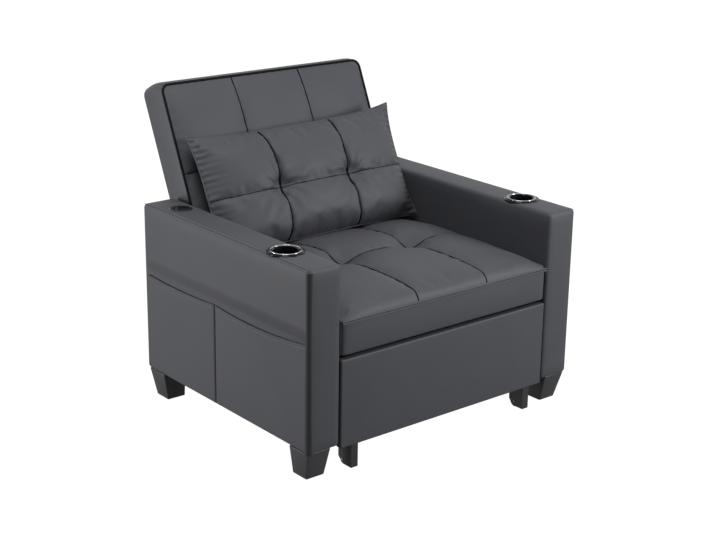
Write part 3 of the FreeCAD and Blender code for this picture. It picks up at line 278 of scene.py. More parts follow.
def stuff(piece, held, cap, pressure=4.0, slack=0.02, frames=16):
    """Fills a cover by cloth simulation.

    held gives each vertex's hold, and cap the most it may move.
    """
    group = piece.vertex_groups.new(name="held")
    for index, hold in enumerate(held):
        group.add([index], hold, "REPLACE")
    cloth = piece.modifiers.new("stuffing", "CLOTH")
    settings = cloth.settings
    settings.quality = 5
    settings.mass = 0.3
    settings.tension_stiffness = 25
    settings.compression_stiffness = 25
    settings.shear_stiffness = 8
    settings.bending_stiffness = 0.6
    settings.tension_damping = 15
    settings.compression_damping = 15
    settings.shear_damping = 10
    settings.bending_damping = 1
    settings.air_damping = 3
    settings.use_pressure = True
    settings.uniform_pressure_force = pressure
    settings.shrink_min = -slack
    settings.vertex_group_mass = group.name
    settings.pin_stiffness = 1
    settings.effector_weights.gravity = 0
    cloth.collision_settings.use_collision = False
    cloth.collision_settings.use_self_collision = False
    cloth.point_cache.frame_start = 1
    cloth.point_cache.frame_end = frames
    before = [vertex.co.copy() for vertex in piece.data.vertices]
    for number in range(1, frames + 1):
        bpy.context.scene.frame_set(number)
    select_only(piece)
    bpy.ops.object.modifier_apply(modifier=cloth.name)
    bpy.context.scene.frame_set(1)
    for vertex, old in zip(piece.data.vertices, before):
        move = vertex.co - old
        if move.length > 1e-7:
            vertex.co = old + move * (cap * math.tanh(move.length / cap) / move.length)
    piece.vertex_groups.clear()


def smooth(piece, levels=1, angle=None):
    """Subdivides a piece, if asked, and shades it smooth."""
    select_only(piece)
    if levels:
        surface = piece.modifiers.new("smooth", "SUBSURF")
        surface.levels = levels
        surface.render_levels = levels
        bpy.ops.object.modifier_apply(modifier=surface.name)
    if angle is None:
        bpy.ops.object.shade_smooth()
    else:
        bpy.ops.object.shade_smooth_by_angle(angle=math.radians(angle))
    return piece


def settle(piece, place):
    """Carries a mesh that was made flat to its place on the chair."""
    piece.data.transform(place)
    piece.data.update()
    return piece


def cords(name, lines, radius, closed=False, sides=2):
    """Round cords, each along a line of points, in one mesh."""
    line = bpy.data.curves.new(name, "CURVE")
    line.dimensions = "3D"
    for points in lines:
        spline = line.splines.new("POLY")
        spline.points.add(len(points) - 1)
        for spot, point in zip(spline.points, points):
            spot.co = (*point, 1)
        spline.use_cyclic_u = closed
    line.bevel_depth = radius
    line.bevel_resolution = sides
    line.use_fill_caps = True
    item = bpy.data.objects.new(name, line)
    bpy.context.scene.collection.objects.link(item)
    select_only(item)
    bpy.ops.object.convert(target="MESH")
    piece = named(name)
    return smooth(piece, levels=0)


def welt(name, points, radius, closed=False, sides=2):
    """A round cord sewn along a line of points."""
    return cords(name, [points], radius, closed, sides)


def stitches(name, points, radius=0.0005, length=0.0045, pitch=0.0068):
    """A row of single stitches along a line of points."""
    rows = []
    along = 0.0
    for start, end in zip(points, points[1:]):
        run = (end - start).length
        while along < run:
            rows.append([start.lerp(end, along / run), start.lerp(end, (along + length) / run)])
            along += pitch
        along -= run
    return cords(name, rows, radius, sides=1)


def laid(cover, points, inward, above):
    """Moves a seam's points onto a cover, looked at from outside, and a little above it."""
    line = []
    for point in points:
        met, spot, _, _ = cover.ray_cast(point - 0.06 * inward, inward)
        line.append((spot if met else point) - above * inward)
    return line


def cut_hole(piece, x, y, top, radius, depth):
    """Cuts a round blind hole down into a piece."""
    bpy.ops.object.select_all(action="DESELECT")
    bpy.ops.mesh.primitive_cylinder_add(vertices=64, radius=radius, depth=2 * depth, location=(x, y, top))
    cutter = named("cutter")
    select_only(piece)
    hole = piece.modifiers.new("hole", "BOOLEAN")
    hole.operation = "DIFFERENCE"
    hole.solver = "EXACT"
    hole.object = cutter
    bpy.ops.object.modifier_apply(modifier=hole.name)
    bpy.data.objects.remove(cutter)


def steps(low, high, count):
    """Evenly spaced numbers from low to high."""
    return [low + (high - low) * number / count for number in range(count + 1)]


def finish(piece, material, slot, body, *nodes):
    """Gives a piece its material and body, and lets it stand for CAD nodes. Its slot argument is not used."""
    piece.data.materials.clear()
    piece.data.materials.append(material)
    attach(piece, body)
    if nodes:
        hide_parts(*nodes)
    return piece


# ---------------------------------------------------------------- materials

def tint(code):
    """The linear colour of an sRGB hex code."""
    values = [int(code[start:start + 2], 16) / 255 for start in (1, 3, 5)]
    linear = [v / 12.92 if v <= 0.04045 else ((v + 0.055) / 1.055) ** 2.4 for v in values]
    return (*linear, 1)


def add_node(tree, kind, sockets=None, **settings):
    """Adds a node with its settings, and fills or links its input sockets."""
    node = tree.nodes.new(kind)
    for name, value in settings.items():
        setattr(node, name, value)
    for name, value in (sockets or {}).items():
        if isinstance(value, bpy.types.NodeSocket):
            tree.links.new(value, node.inputs[name])
        else:
            node.inputs[name].default_value = value
    return node


def start_material(name):
    """An empty material, its node tree, its shader and the object's own coordinates."""
    material = bpy.data.materials.new(name)
    material.use_nodes = True
    tree = material.node_tree
    shader = tree.nodes["Principled BSDF"]
    place = add_node(tree, "ShaderNodeTexCoord").outputs["Object"]
    return material, tree, shader, place


def faux_leather(name, dark, light, grain=0.0016, depth=0.00016, roughness=(0.52, 0.64), shine=0.3):
    """Polyurethane leather: an embossed pebble grain under a satin topcoat.

    The eye sees a soft sheen that the grain breaks up, a tone that is a little uneven, and painted shade in the
    grain's hollows.
    """
    material, tree, shader, place = start_material(name)
    cloud = add_node(tree, "ShaderNodeTexNoise", {"Vector": place, "Scale": 9, "Detail": 3})
    tone = add_node(tree, "ShaderNodeMix", {
        "Factor": cloud.outputs["Fac"], "A": tint(dark), "B": tint(light),
    }, data_type="RGBA")
    pebble = add_node(tree, "ShaderNodeTexVoronoi", {"Vector": place, "Scale": 1 / grain}, feature="F1")
    crease = add_node(tree, "ShaderNodeTexNoise", {"Vector": place, "Scale": 0.35 / grain, "Detail": 4})
    relief = add_node(tree, "ShaderNodeMath", {0: pebble.outputs["Distance"], 1: crease.outputs["Fac"]})
    # Painted shade: the colour is made up to a tenth darker in the hollows between the pebbles.
    grain_hollow_shade = add_node(tree, "ShaderNodeMapRange", {
        "Value": pebble.outputs["Distance"],
        "From Min": 0.0, "From Max": 0.8, "To Min": 1.0, "To Max": 0.9,
    })
    shaded = add_node(tree, "ShaderNodeMix", {
        "Factor": 1.0, "A": tone.outputs["Result"], "B": grain_hollow_shade.outputs["Result"],
    }, data_type="RGBA", blend_type="MULTIPLY")
    gloss = add_node(tree, "ShaderNodeMapRange", {
        "Value": crease.outputs["Fac"], "To Min": roughness[0], "To Max": roughness[1],
    })
    bump = add_node(tree, "ShaderNodeBump", {
        "Height": relief.outputs["Value"], "Strength": 0.5, "Distance": depth,
    }, invert=True)
    tree.links.new(shaded.outputs["Result"], shader.inputs["Base Color"])
    tree.links.new(gloss.outputs["Result"], shader.inputs["Roughness"])
    tree.links.new(bump.outputs["Normal"], shader.inputs["Normal"])
    shader.inputs["IOR"].default_value = 1.48
    shader.inputs["Specular IOR Level"].default_value = shine
    return material


def powder_coat(name, colour, roughness=(0.38, 0.5)):
    """Baked powder paint on steel: a faint orange peel that breaks up its sheen."""
    material, tree, shader, place = start_material(name)
    peel = add_node(tree, "ShaderNodeTexNoise", {"Vector": place, "Scale": 600, "Detail": 2})
    wear = add_node(tree, "ShaderNodeTexNoise", {"Vector": place, "Scale": 35, "Detail": 5})
    tone = add_node(tree, "ShaderNodeMix", {
        "Factor": wear.outputs["Fac"], "A": tint(colour), "B": tint("#2A2A2C"),
    }, data_type="RGBA")
    gloss = add_node(tree, "ShaderNodeMapRange", {
        "Value": wear.outputs["Fac"], "To Min": roughness[0], "To Max": roughness[1],
    })
    bump = add_node(tree, "ShaderNodeBump", {
        "Height": peel.outputs["Fac"], "Strength": 0.3, "Distance": 0.0001,
    })
    tree.links.new(tone.outputs["Result"], shader.inputs["Base Color"])
    tree.links.new(gloss.outputs["Result"], shader.inputs["Roughness"])
    tree.links.new(bump.outputs["Normal"], shader.inputs["Normal"])
    return material


def moulded(name, colour, lighter, roughness, texture=0.0006, depth=0.00005):
    """Injection-moulded plastic with a fine spark-eroded texture."""
    material, tree, shader, place = start_material(name)
    cloud = add_node(tree, "ShaderNodeTexNoise", {"Vector": place, "Scale": 40, "Detail": 3})
    tone = add_node(tree, "ShaderNodeMix", {
        "Factor": cloud.outputs["Fac"], "A": tint(colour), "B": tint(lighter),
    }, data_type="RGBA")
    spark = add_node(tree, "ShaderNodeTexNoise", {"Vector": place, "Scale": 1 / texture, "Detail": 2})
    gloss = add_node(tree, "ShaderNodeMapRange", {
        "Value": cloud.outputs["Fac"], "To Min": roughness * 0.85, "To Max": roughness * 1.15,
    })
    bump = add_node(tree, "ShaderNodeBump", {
        "Height": spark.outputs["Fac"], "Strength": 0.3, "Distance": depth,
    })
    tree.links.new(tone.outputs["Result"], shader.inputs["Base Color"])
    tree.links.new(gloss.outputs["Result"], shader.inputs["Roughness"])
    tree.links.new(bump.outputs["Normal"], shader.inputs["Normal"])
    return material


def plated(name, colour, roughness, scratch=0.0004):
    """Plated metal: bright, with hair-fine rubbing marks that vary its gloss."""
    material, tree, shader, place = start_material(name)
    marks = add_node(tree, "ShaderNodeTexNoise", {"Vector": place, "Scale": 0.1 / scratch, "Detail": 6})
    gloss = add_node(tree, "ShaderNodeMapRange", {
        "Value": marks.outputs["Fac"], "To Min": roughness * 0.6, "To Max": roughness * 1.5,
    })
    tree.links.new(gloss.outputs["Result"], shader.inputs["Roughness"])
    shader.inputs["Base Color"].default_value = tint(colour)
    shader.inputs["Metallic"].default_value = 1
    return material


def timber(name, pale, brown, ring=0.012):
    """Bare pine and plywood: long pale grain with darker growth lines along X."""
    material, tree, shader, place = start_material(name)
    lengthways = add_node(tree, "ShaderNodeMapping", {"Vector": place, "Scale": (0.08, 1, 1)})
    rings = add_node(tree, "ShaderNodeTexWave", {
        "Vector": lengthways.outputs["Vector"], "Scale": 0.3 / ring, "Distortion": 6, "Detail": 3,
    }, bands_direction="Y")
    tone = add_node(tree, "ShaderNodeMix", {
        "Factor": rings.outputs["Fac"], "A": tint(pale), "B": tint(brown),
    }, data_type="RGBA")
    bump = add_node(tree, "ShaderNodeBump", {
        "Height": rings.outputs["Fac"], "Strength": 0.2, "Distance": 0.0003,
    })
    tree.links.new(tone.outputs["Result"], shader.inputs["Base Color"])
    tree.links.new(bump.outputs["Normal"], shader.inputs["Normal"])
    shader.inputs["Roughness"].default_value = 0.65
    return material


def backing_cloth(name, colour, lighter, pitch=0.0022):
    """Spun-bonded lining or woven elastic: matt, with a close over-and-under texture."""
    material, tree, shader, place = start_material(name)
    weave = add_node(tree, "ShaderNodeTexChecker", {"Vector": place, "Scale": 1 / pitch})
    fibre = add_node(tree, "ShaderNodeTexNoise", {"Vector": place, "Scale": 250, "Detail": 4})
    height = add_node(tree, "ShaderNodeMath", {0: weave.outputs["Fac"], 1: fibre.outputs["Fac"]})
    tone = add_node(tree, "ShaderNodeMix", {
        "Factor": fibre.outputs["Fac"], "A": tint(colour), "B": tint(lighter),
    }, data_type="RGBA")
    bump = add_node(tree, "ShaderNodeBump", {
        "Height": height.outputs["Value"], "Strength": 0.4, "Distance": 0.0002,
    })
    tree.links.new(tone.outputs["Result"], shader.inputs["Base Color"])
    tree.links.new(bump.outputs["Normal"], shader.inputs["Normal"])
    shader.inputs["Roughness"].default_value = 0.9
    return material


LEATHER = faux_leather("grey_polyurethane_leather", "#46474C", "#4D4E53")
# Black welt cords. Laid along the sewn grooves of the seat, back, pillow and base cushion, they also stand for the
# shade in those grooves, so they are partly painted shade. The back's piping is black in its own right.
SEAM = faux_leather("black_welt_and_painted_seam_shade", "#08080A", "#101013", grain=0.0012, shine=0.08)
EDGE = faux_leather("dark_leather_gusset", "#2B2C30", "#333438")
LINING = backing_cloth("black_spun_bonded_lining", "#19191B", "#242427")
ELASTIC = backing_cloth("black_woven_elastic", "#151516", "#2B2B2D", pitch=0.004)
PINE = timber("bare_pine_plywood", "#D8BE92", "#B8935E")
LEG_PLASTIC = moulded("charcoal_moulded_leg", "#2A2B2E", "#303135", 0.5)
BLACK_STEEL = powder_coat("black_powder_coated_steel", "#1B1B1D")
ZINC = plated("zinc_plated_steel", "#B9BBC0", 0.3)
CHROME = plated("polished_chrome", "#B4B5BA", 0.1)
# Painted reflection: the cup rims' chrome is given a near-black colour, so that it looks like chrome mirroring
# dark surroundings.
CHROME_PAINTED_DARK = plated("chrome_with_painted_dark_reflection", "#1D1E21", 0.12)
CUP_PLASTIC = moulded("black_moulded_cup", "#08080A", "#0D0D10", 0.25)
GLOSS = moulded(
    "gloss_black_moulding", "#161618", "#1C1C1F", 0.32, texture=0.002, depth=0.00001)
NYLON = moulded("black_nylon_wheel", "#101012", "#1A1A1C", 0.5)
THREAD = backing_cloth("grey_bonded_thread", "#74757A", "#85868B", pitch=0.0008)

SLOT_MATERIALS = {
    "faux_leather": LEATHER, "backing_cloth": LINING, "timber": PINE, "leg_finish": LEG_PLASTIC,
    "webbing": ELASTIC, "black_steel": BLACK_STEEL, "zinc_steel": ZINC, "cup_plastic": CUP_PLASTIC,
    "chrome_ring": CHROME_PAINTED_DARK, "gloss_black": GLOSS, "nylon": NYLON,
}


def dress_frame():
    """Gives every carried-over CAD node the material of its slot."""
    for part in frame["record"]["subparts"]:
        node = frame["nodes"][part["node"]]
        node.data.materials.clear()
        node.data.materials.append(SLOT_MATERIALS[part["material_slot"]])


# ---------------------------------------------------------------- seat

def seat_crown(x, y):
    """Height of the seat's seams above its front edge. y counts from the arms' front faces."""
    crown = 1 - 0.5 * math.exp(-y / 0.080) - 0.5 * math.exp(-y / 0.008)
    crown *= 1 - 0.8 * math.exp(-(max(SEAT_HALF - abs(x), 0) / 0.064) ** 1.43)
    crown *= 1 - 0.85 * (max(y - 0.400, 0) / 0.255) ** 2
    return SEAT_CROWN * crown


def seat_relief(x, y):
    """Depth of the seams and of the two pinched crossings below the seat's crown."""
    reach = min(y / 0.05, 1)
    aside = abs(x) - SEAT_SEAM_SIDE
    along = y - SEAT_SEAM_DEPTH
    pinch = SEAT_PINCH * dip(math.hypot(aside, along), SEAT_PINCH_REACH)
    folds = 0.0012 * puckers(aside, along, 8, 0.022)
    grooves = GROOVE * max(dip(aside, GROOVE_WIDTH), dip(along, GROOVE_WIDTH))
    return reach * (pinch + grooves + folds)


def seat_top(x, y):
    """Height of the seat's top above the floor."""
    return SEAT_EDGE + seat_crown(x, y) - seat_relief(x, y)


def seat_skew(x, y):
    """How far the seams run to the right towards the front edge."""
    return 0.022 * max(1 - y / SEAT_SEAM_DEPTH, 0) * (1 - abs(x) / SEAT_HALF)


def make_seat():
    """The fixed seat's cover, its seams as black cords that are partly painted shade of their grooves, and the
    double welt along its front edge.
    """
    low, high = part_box("seat_cushion")
    high.z = SEAT_EDGE
    low.y, high.y = FRONT, FRONT + SEAT_DEPTH
    inset = SEAT_FRAME_INSET
    seam_y = FRONT + SEAT_SEAM_DEPTH
    seams_x = (-SEAT_SEAM_SIDE, SEAT_SEAM_SIDE)
    cuts = (
        stations(low.x, high.x, 0.0125, seams_x, (0.003, 0.007, 0.016, inset)),
        stations(low.y, high.y, 0.0125, (seam_y,), (0.003, 0.007, 0.012, 0.02, inset)),
        stations(low.z, high.z, 0.022),
    )
    cover = cut_box("seat_cover", low, high, cuts)

    def rule(point):
        soft = eased(point, low, high, 0.006)
        share = (soft.z - low.z) / (high.z - low.z)
        lift = (seat_top(soft.x, soft.y - FRONT) - SEAT_EDGE) * share
        if point.y < low.y + TINY:
            soft.y -= 0.003 * math.sin(math.pi * share) * rise(high.x - abs(point.x), 0.04)
        soft.x, along = plan_rounded(soft.x, soft.y - low.y, high.x, high.y - low.y, SEAT_CORNER)
        soft.y = low.y + along
        edge = min(high.x - abs(point.x), point.y - low.y, high.y - point.y)
        if point.z < low.z + TINY and edge > inset - 1e-4:
            soft.z += 0.009
        return Vector((soft.x + share * seat_skew(soft.x, point.y - FRONT), soft.y, soft.z + lift))

    flat = reshape(cover, rule)
    held = []
    for point in flat:
        on_seam = abs(abs(point.x) - SEAT_SEAM_SIDE) < ON_LINE or abs(point.y - seam_y) < ON_LINE
        on_top = point.z > high.z - TINY
        edge = min(high.x - abs(point.x), point.y - low.y, high.y - point.y)
        held.append(1.0 if on_seam or not on_top else dip(edge, 0.012))
    stuff(cover, held, cap=0.009)
    finish(smooth(cover), LEATHER, "faux_leather", "frame", "seat_cushion")

    for name, side in SIDES:
        x = side * SEAT_SEAM_SIDE
        spots = [0.0015, 0.003, 0.005, 0.008] + steps(0.012, SEAM_END, 110)
        line = [Vector((x + seat_skew(x, y), FRONT + y, seat_top(x, y))) for y in spots]
        line = laid(cover, line, DOWN, 0.0005)
        finish(welt(f"seat_seam_{name}", line, 0.0019), SEAM, "faux_leather", "frame")
    line = [Vector((x, seam_y, seat_top(x, SEAT_SEAM_DEPTH))) for x in steps(-0.390, 0.390, 130)]
    line = laid(cover, line, DOWN, 0.0005)
    finish(welt("seat_seam_across", line, 0.0017), SEAM, "faux_leather", "frame")
    for name, drop, out in (("upper", 0.0, 0.0005), ("lower", 0.0055, 0.0022)):
        line = [Vector((x, FRONT - out, SEAT_EDGE - 0.001 - drop)) for x in steps(-0.391, 0.391, 60)]
        finish(welt(f"seat_edge_welt_{name}", line, 0.0026), LEATHER, "faux_leather", "frame")


# ---------------------------------------------------------------- backrest

def back_top(x, s):
    """Thickness of the backrest at a place across it and up it, seams and grooves included."""
    crown = BACK_CROWN * rise(BACK_HALF - abs(x), 0.07, 1.1) * rise(min(s, BACK_LENGTH - s), 0.065, 1.1)
    aside = abs(x) - BACK_SEAM_SIDE
    along = s - BACK_SEAM_HEIGHT
    inside = min((BACK_LENGTH - s) / 0.02, s / 0.02, (BACK_HALF - abs(x)) / 0.02, 1)
    grooves = GROOVE * max(dip(aside, GROOVE_WIDTH), dip(along, GROOVE_WIDTH))
    pinch = BACK_PINCH * dip(math.hypot(aside, along), BACK_PINCH_REACH)
    return BACK_THICKNESS + crown - max(inside, 0) * (grooves + pinch)


def heel(s):
    """How far the rounded lower rear edge of the backrest has come forward at a place up it."""
    return HEEL_RADIUS - math.sqrt(HEEL_RADIUS ** 2 - max(HEEL_RADIUS - s, 0) ** 2)


def make_back():
    """The backrest's cover, its seams as black cords that are partly painted shade of their grooves, and the black
    piping round its face.
    """
    low, high = Vector((-BACK_HALF, 0, 0)), Vector((BACK_HALF, BACK_LENGTH, BACK_THICKNESS))
    frame_foot, frame_head, frame_inset = 0.070, 0.038, 0.028
    seams_x = (-BACK_SEAM_SIDE, BACK_SEAM_SIDE)
    ends = (0.003, 0.006, 0.0104, 0.017, 0.025)
    cuts = (
        stations(low.x, high.x, 0.0135, seams_x, ends),
        stations(low.y, high.y, 0.0135, (BACK_SEAM_HEIGHT,), (*ends, frame_head)),
        stations(low.z, high.z, 0.022),
    )
    cover = cut_box("back_cover", low, high, cuts)

    def rule(point):
        soft = eased(point, low, high, BACK_EDGE)
        share = soft.z / BACK_THICKNESS
        boxing = 1 - share ** 5 + 0.2 * math.sin(math.pi * share)
        lift = share * (back_top(soft.x, soft.y) - BACK_THICKNESS)
        bottom = heel(max(point.y, 0)) * (1 - share)
        soft.x, soft.y = plan_rounded(soft.x, soft.y, BACK_HALF, BACK_LENGTH, BACK_CORNER)
        soft.x *= 1 + (0.005 * boxing - 0.001) / BACK_HALF
        soft.y += (0.017 * boxing - 0.005) * max(soft.y / BACK_LENGTH - 0.8, 0) * 5
        inner = frame_foot < point.y < BACK_LENGTH - frame_head - 1e-4
        if point.z < TINY and inner and abs(point.x) < BACK_HALF - frame_inset:
            soft.z += 0.0045
        return Vector((soft.x, soft.y, soft.z + lift + bottom))

    flat = reshape(cover, rule)
    held = []
    for point in flat:
        on_seam = min(abs(abs(point.x) - BACK_SEAM_SIDE), abs(point.y - BACK_SEAM_HEIGHT)) < ON_LINE
        on_top = point.z > high.z - TINY
        edge = min(high.x - abs(point.x), point.y, high.y - point.y)
        held.append(1.0 if on_seam or not on_top else dip(edge, 0.010))
    stuff(cover, held, cap=0.006)
    settle(smooth(cover), BACK_FRAME)
    finish(cover, LEATHER, "faux_leather", "backrest", "back_cushion")

    for name, side in SIDES:
        x = side * BACK_SEAM_SIDE
        spots = steps(0.008, BACK_LENGTH - 0.006, 90)
        line = [BACK_FRAME @ Vector((x, s, back_top(x, s))) for s in spots]
        line = laid(cover, line, -BACK_OUT, 0.0008)
        finish(welt(f"back_seam_{name}", line, 0.0017), SEAM, "faux_leather", "backrest")
    s = BACK_SEAM_HEIGHT
    line = [BACK_FRAME @ Vector((x, s, back_top(x, s))) for x in steps(-0.376, 0.376, 110)]
    line = laid(cover, line, -BACK_OUT, 0.0005)
    finish(welt("back_seam_across", line, 0.0013), SEAM, "faux_leather", "backrest")
    line = []
    aside, foot, head = BACK_HALF - BACK_CORNER, BACK_CORNER, BACK_LENGTH - PIPING_DROP - BACK_CORNER
    for x, s, start in ((aside, head, 0), (-aside, head, 90), (-aside, foot, 180), (aside, foot, 270)):
        for angle in range(start, start + 91, 10):
            turn = math.radians(angle)
            spot = x + BACK_CORNER * math.cos(turn), s + BACK_CORNER * math.sin(turn), BACK_THICKNESS - 0.0005
            line.append(BACK_FRAME @ Vector(spot))
    finish(welt("back_piping", line, PIPING, closed=True), SEAM, "faux_leather", "backrest")


# ---------------------------------------------------------------- lumbar pillow

def pillow_body(x, s):
    """Share of the pillow's fullness at a place across it and up it."""
    side = rise(PILLOW_HALF - abs(x), 0.085) / rise(PILLOW_HALF, 0.085)
    foot = rise(s, 0.024) / rise(PILLOW_HEIGHT, 0.024)
    head = rise(PILLOW_HEIGHT - s, 0.045) / rise(PILLOW_HEIGHT, 0.045)
    return side * foot * head


def pillow_relief(x, s):
    """Depth of the front's seams and pinched crossings."""
    aside = abs(x) - PILLOW_SEAM_SIDE
    along = s - PILLOW_SEAM_HEIGHT
    pinch = PILLOW_PINCH * dip(math.hypot(aside, along), PILLOW_PINCH_REACH)
    upright = 0.0045 * dip(aside, 0.007)
    across = 0.0035 * dip(along, 0.010)
    return pinch + max(upright, across)


def pillow_folds(x, s):
    """Folds round the pinched crossings, and small ones where the short edges are gathered."""
    fold = 0.0024 * puckers(abs(x) - PILLOW_SEAM_SIDE, s - PILLOW_SEAM_HEIGHT, 9, 0.036)
    edge = max(PILLOW_HALF - abs(x), 0)
    wave = math.sin(s * math.tau / GATHER_PITCH + 5 * noise.noise(Vector((x * 2, s * 9, 0.3))))
    return fold + 0.0026 * wave * (edge / 0.014) * math.exp(1 - edge / 0.014)


def pillow_front(x, s):
    """Height of the pillow's front above its knife edge."""
    body = pillow_body(x, s)
    return PILLOW_FRONT * body - min(body * 1.6, 1) * pillow_relief(x, s)


def pillow_edge(x, s):
    """Where a point of the flat cover lies once the pillow is full. Its corners stay out as ears."""
    pull = 0.018 * (1 - abs(2 * s / PILLOW_HEIGHT - 1) ** 3)
    rim = abs(x) / PILLOW_HALF
    share = s / PILLOW_HEIGHT
    tuck = 0.005 * (1 - rim ** 2) * (1 - share) - 0.021 * (1 - rim ** 4) * share ** 2
    return x * (1 + (0.004 - pull) / PILLOW_HALF), s + tuck


def make_pillow():
    """The loose pillow: crowned on both faces, pinched at two crossings, pointed at its corners."""
    low = Vector((-PILLOW_HALF, 0, -PILLOW_EDGE))
    high = Vector((PILLOW_HALF, PILLOW_HEIGHT, PILLOW_EDGE))
    ends, beside = (0.004, 0.010), (0.0025, 0.006, 0.012)
    cuts = (
        stations(low.x, high.x, 0.0095, (-PILLOW_SEAM_SIDE, PILLOW_SEAM_SIDE), ends, beside),
        stations(low.y, high.y, 0.0085, (PILLOW_SEAM_HEIGHT,), ends, beside),
        (),
    )
    cover = cut_box("pillow_cover", low, high, cuts)
    to_pillow = PILLOW_PLACE.inverted()

    def rule(point):
        x, s = point.x, point.y
        new_x, new_s = pillow_edge(x, s)
        lean = -PILLOW_LEAN * (s - PILLOW_HEIGHT / 2)
        if point.z > 0:
            return Vector((new_x, new_s, PILLOW_EDGE + pillow_front(x, s) + lean))
        depth = -PILLOW_EDGE - PILLOW_REAR * pillow_body(x, s) + lean
        on_back = PILLOW_PLACE @ Vector((new_x, new_s, depth))
        beneath = min(max(on_back.x, -BACK_HALF), BACK_HALF), min(max(on_back.y, 0), BACK_LENGTH)
        rest = back_top(*beneath) + PILLOW_CLEARANCE
        return to_pillow @ Vector((on_back.x, on_back.y, max(on_back.z, rest)))

    flat = reshape(cover, rule)
    held = []
    for point in flat:
        on_seam = abs(abs(point.x) - PILLOW_SEAM_SIDE) < ON_LINE
        across = abs(point.y - PILLOW_SEAM_HEIGHT) < ON_LINE
        edge = min(PILLOW_HALF - abs(point.x), point.y, PILLOW_HEIGHT - point.y)
        if point.z < 0:
            held.append(1.0 if edge < 0.05 else 0.9)
        elif on_seam or edge < 0.003:
            held.append(1.0)
        else:
            held.append(0.9 if across else 0.0)
    stuff(cover, held, cap=0.011, pressure=5.0, slack=0.035)
    smooth(cover)
    shares = [1.0 if vertex.normal.z > 0 else 0.3 for vertex in cover.data.vertices]
    for vertex, share in zip(cover.data.vertices, shares):
        vertex.co.z += share * pillow_folds(vertex.co.x, vertex.co.y)
    settle(cover, PILLOW_FRAME)
    finish(cover, LEATHER, "faux_leather", "pillow", "lumbar_pillow")

    inward = -(PILLOW_FRAME.to_3x3() @ Vector((0, 0, 1)))

    def on_front(x, s):
        height = PILLOW_EDGE + pillow_front(x, s) - PILLOW_LEAN * (s - PILLOW_HEIGHT / 2)
        return PILLOW_FRAME @ Vector((*pillow_edge(x, s), height))

    # Painted shade: the upright seam cords are drawn as wide as the dark seam lines together with their shadows.
    for name, side in SIDES:
        line = [on_front(side * PILLOW_SEAM_SIDE, s) for s in steps(0.004, PILLOW_HEIGHT - 0.004, 90)]
        line = laid(cover, line, inward, 0.0008)
        finish(welt(f"pillow_seam_{name}", line, 0.0031), SEAM, "faux_leather", "pillow")
    reach = PILLOW_HALF - 0.005
    line = [on_front(x, PILLOW_SEAM_HEIGHT) for x in steps(-reach, reach, 140)]
    line = laid(cover, line, inward, 0.0004)
    finish(welt("pillow_seam_across", line, 0.0012), SEAM, "faux_leather", "pillow")
    rim = [(x, 0) for x in steps(-PILLOW_HALF, PILLOW_HALF, 60)]
    rim += [(PILLOW_HALF, s) for s in steps(0, PILLOW_HEIGHT, 40)[1:]]
    rim += [(x, PILLOW_HEIGHT) for x in steps(PILLOW_HALF, -PILLOW_HALF, 60)[1:]]
    rim += [(-PILLOW_HALF, s) for s in steps(PILLOW_HEIGHT, 0, 40)[1:-1]]
    line = [on_front(x, s) - 0.5 * PILLOW_EDGE * -inward for x, s in rim]
    finish(welt("pillow_edge_seam", line, 0.0021, closed=True), LEATHER, "faux_leather", "pillow")


# ---------------------------------------------------------------- arms

def pocket_depth(y, z):
    """How far the outer face of the left arm is sunk behind the pockets."""
    if not POCKET_MARGIN <= y - FRONT <= ARM_DEPTH - POCKET_MARGIN or z < POCKET_BASE:
        return 0.0
    if z <= POCKET_MOUTH:
        return POCKET_FIELD
    return POCKET_FIELD * max(1 - (z - POCKET_MOUTH) / POCKET_RAMP, 0)


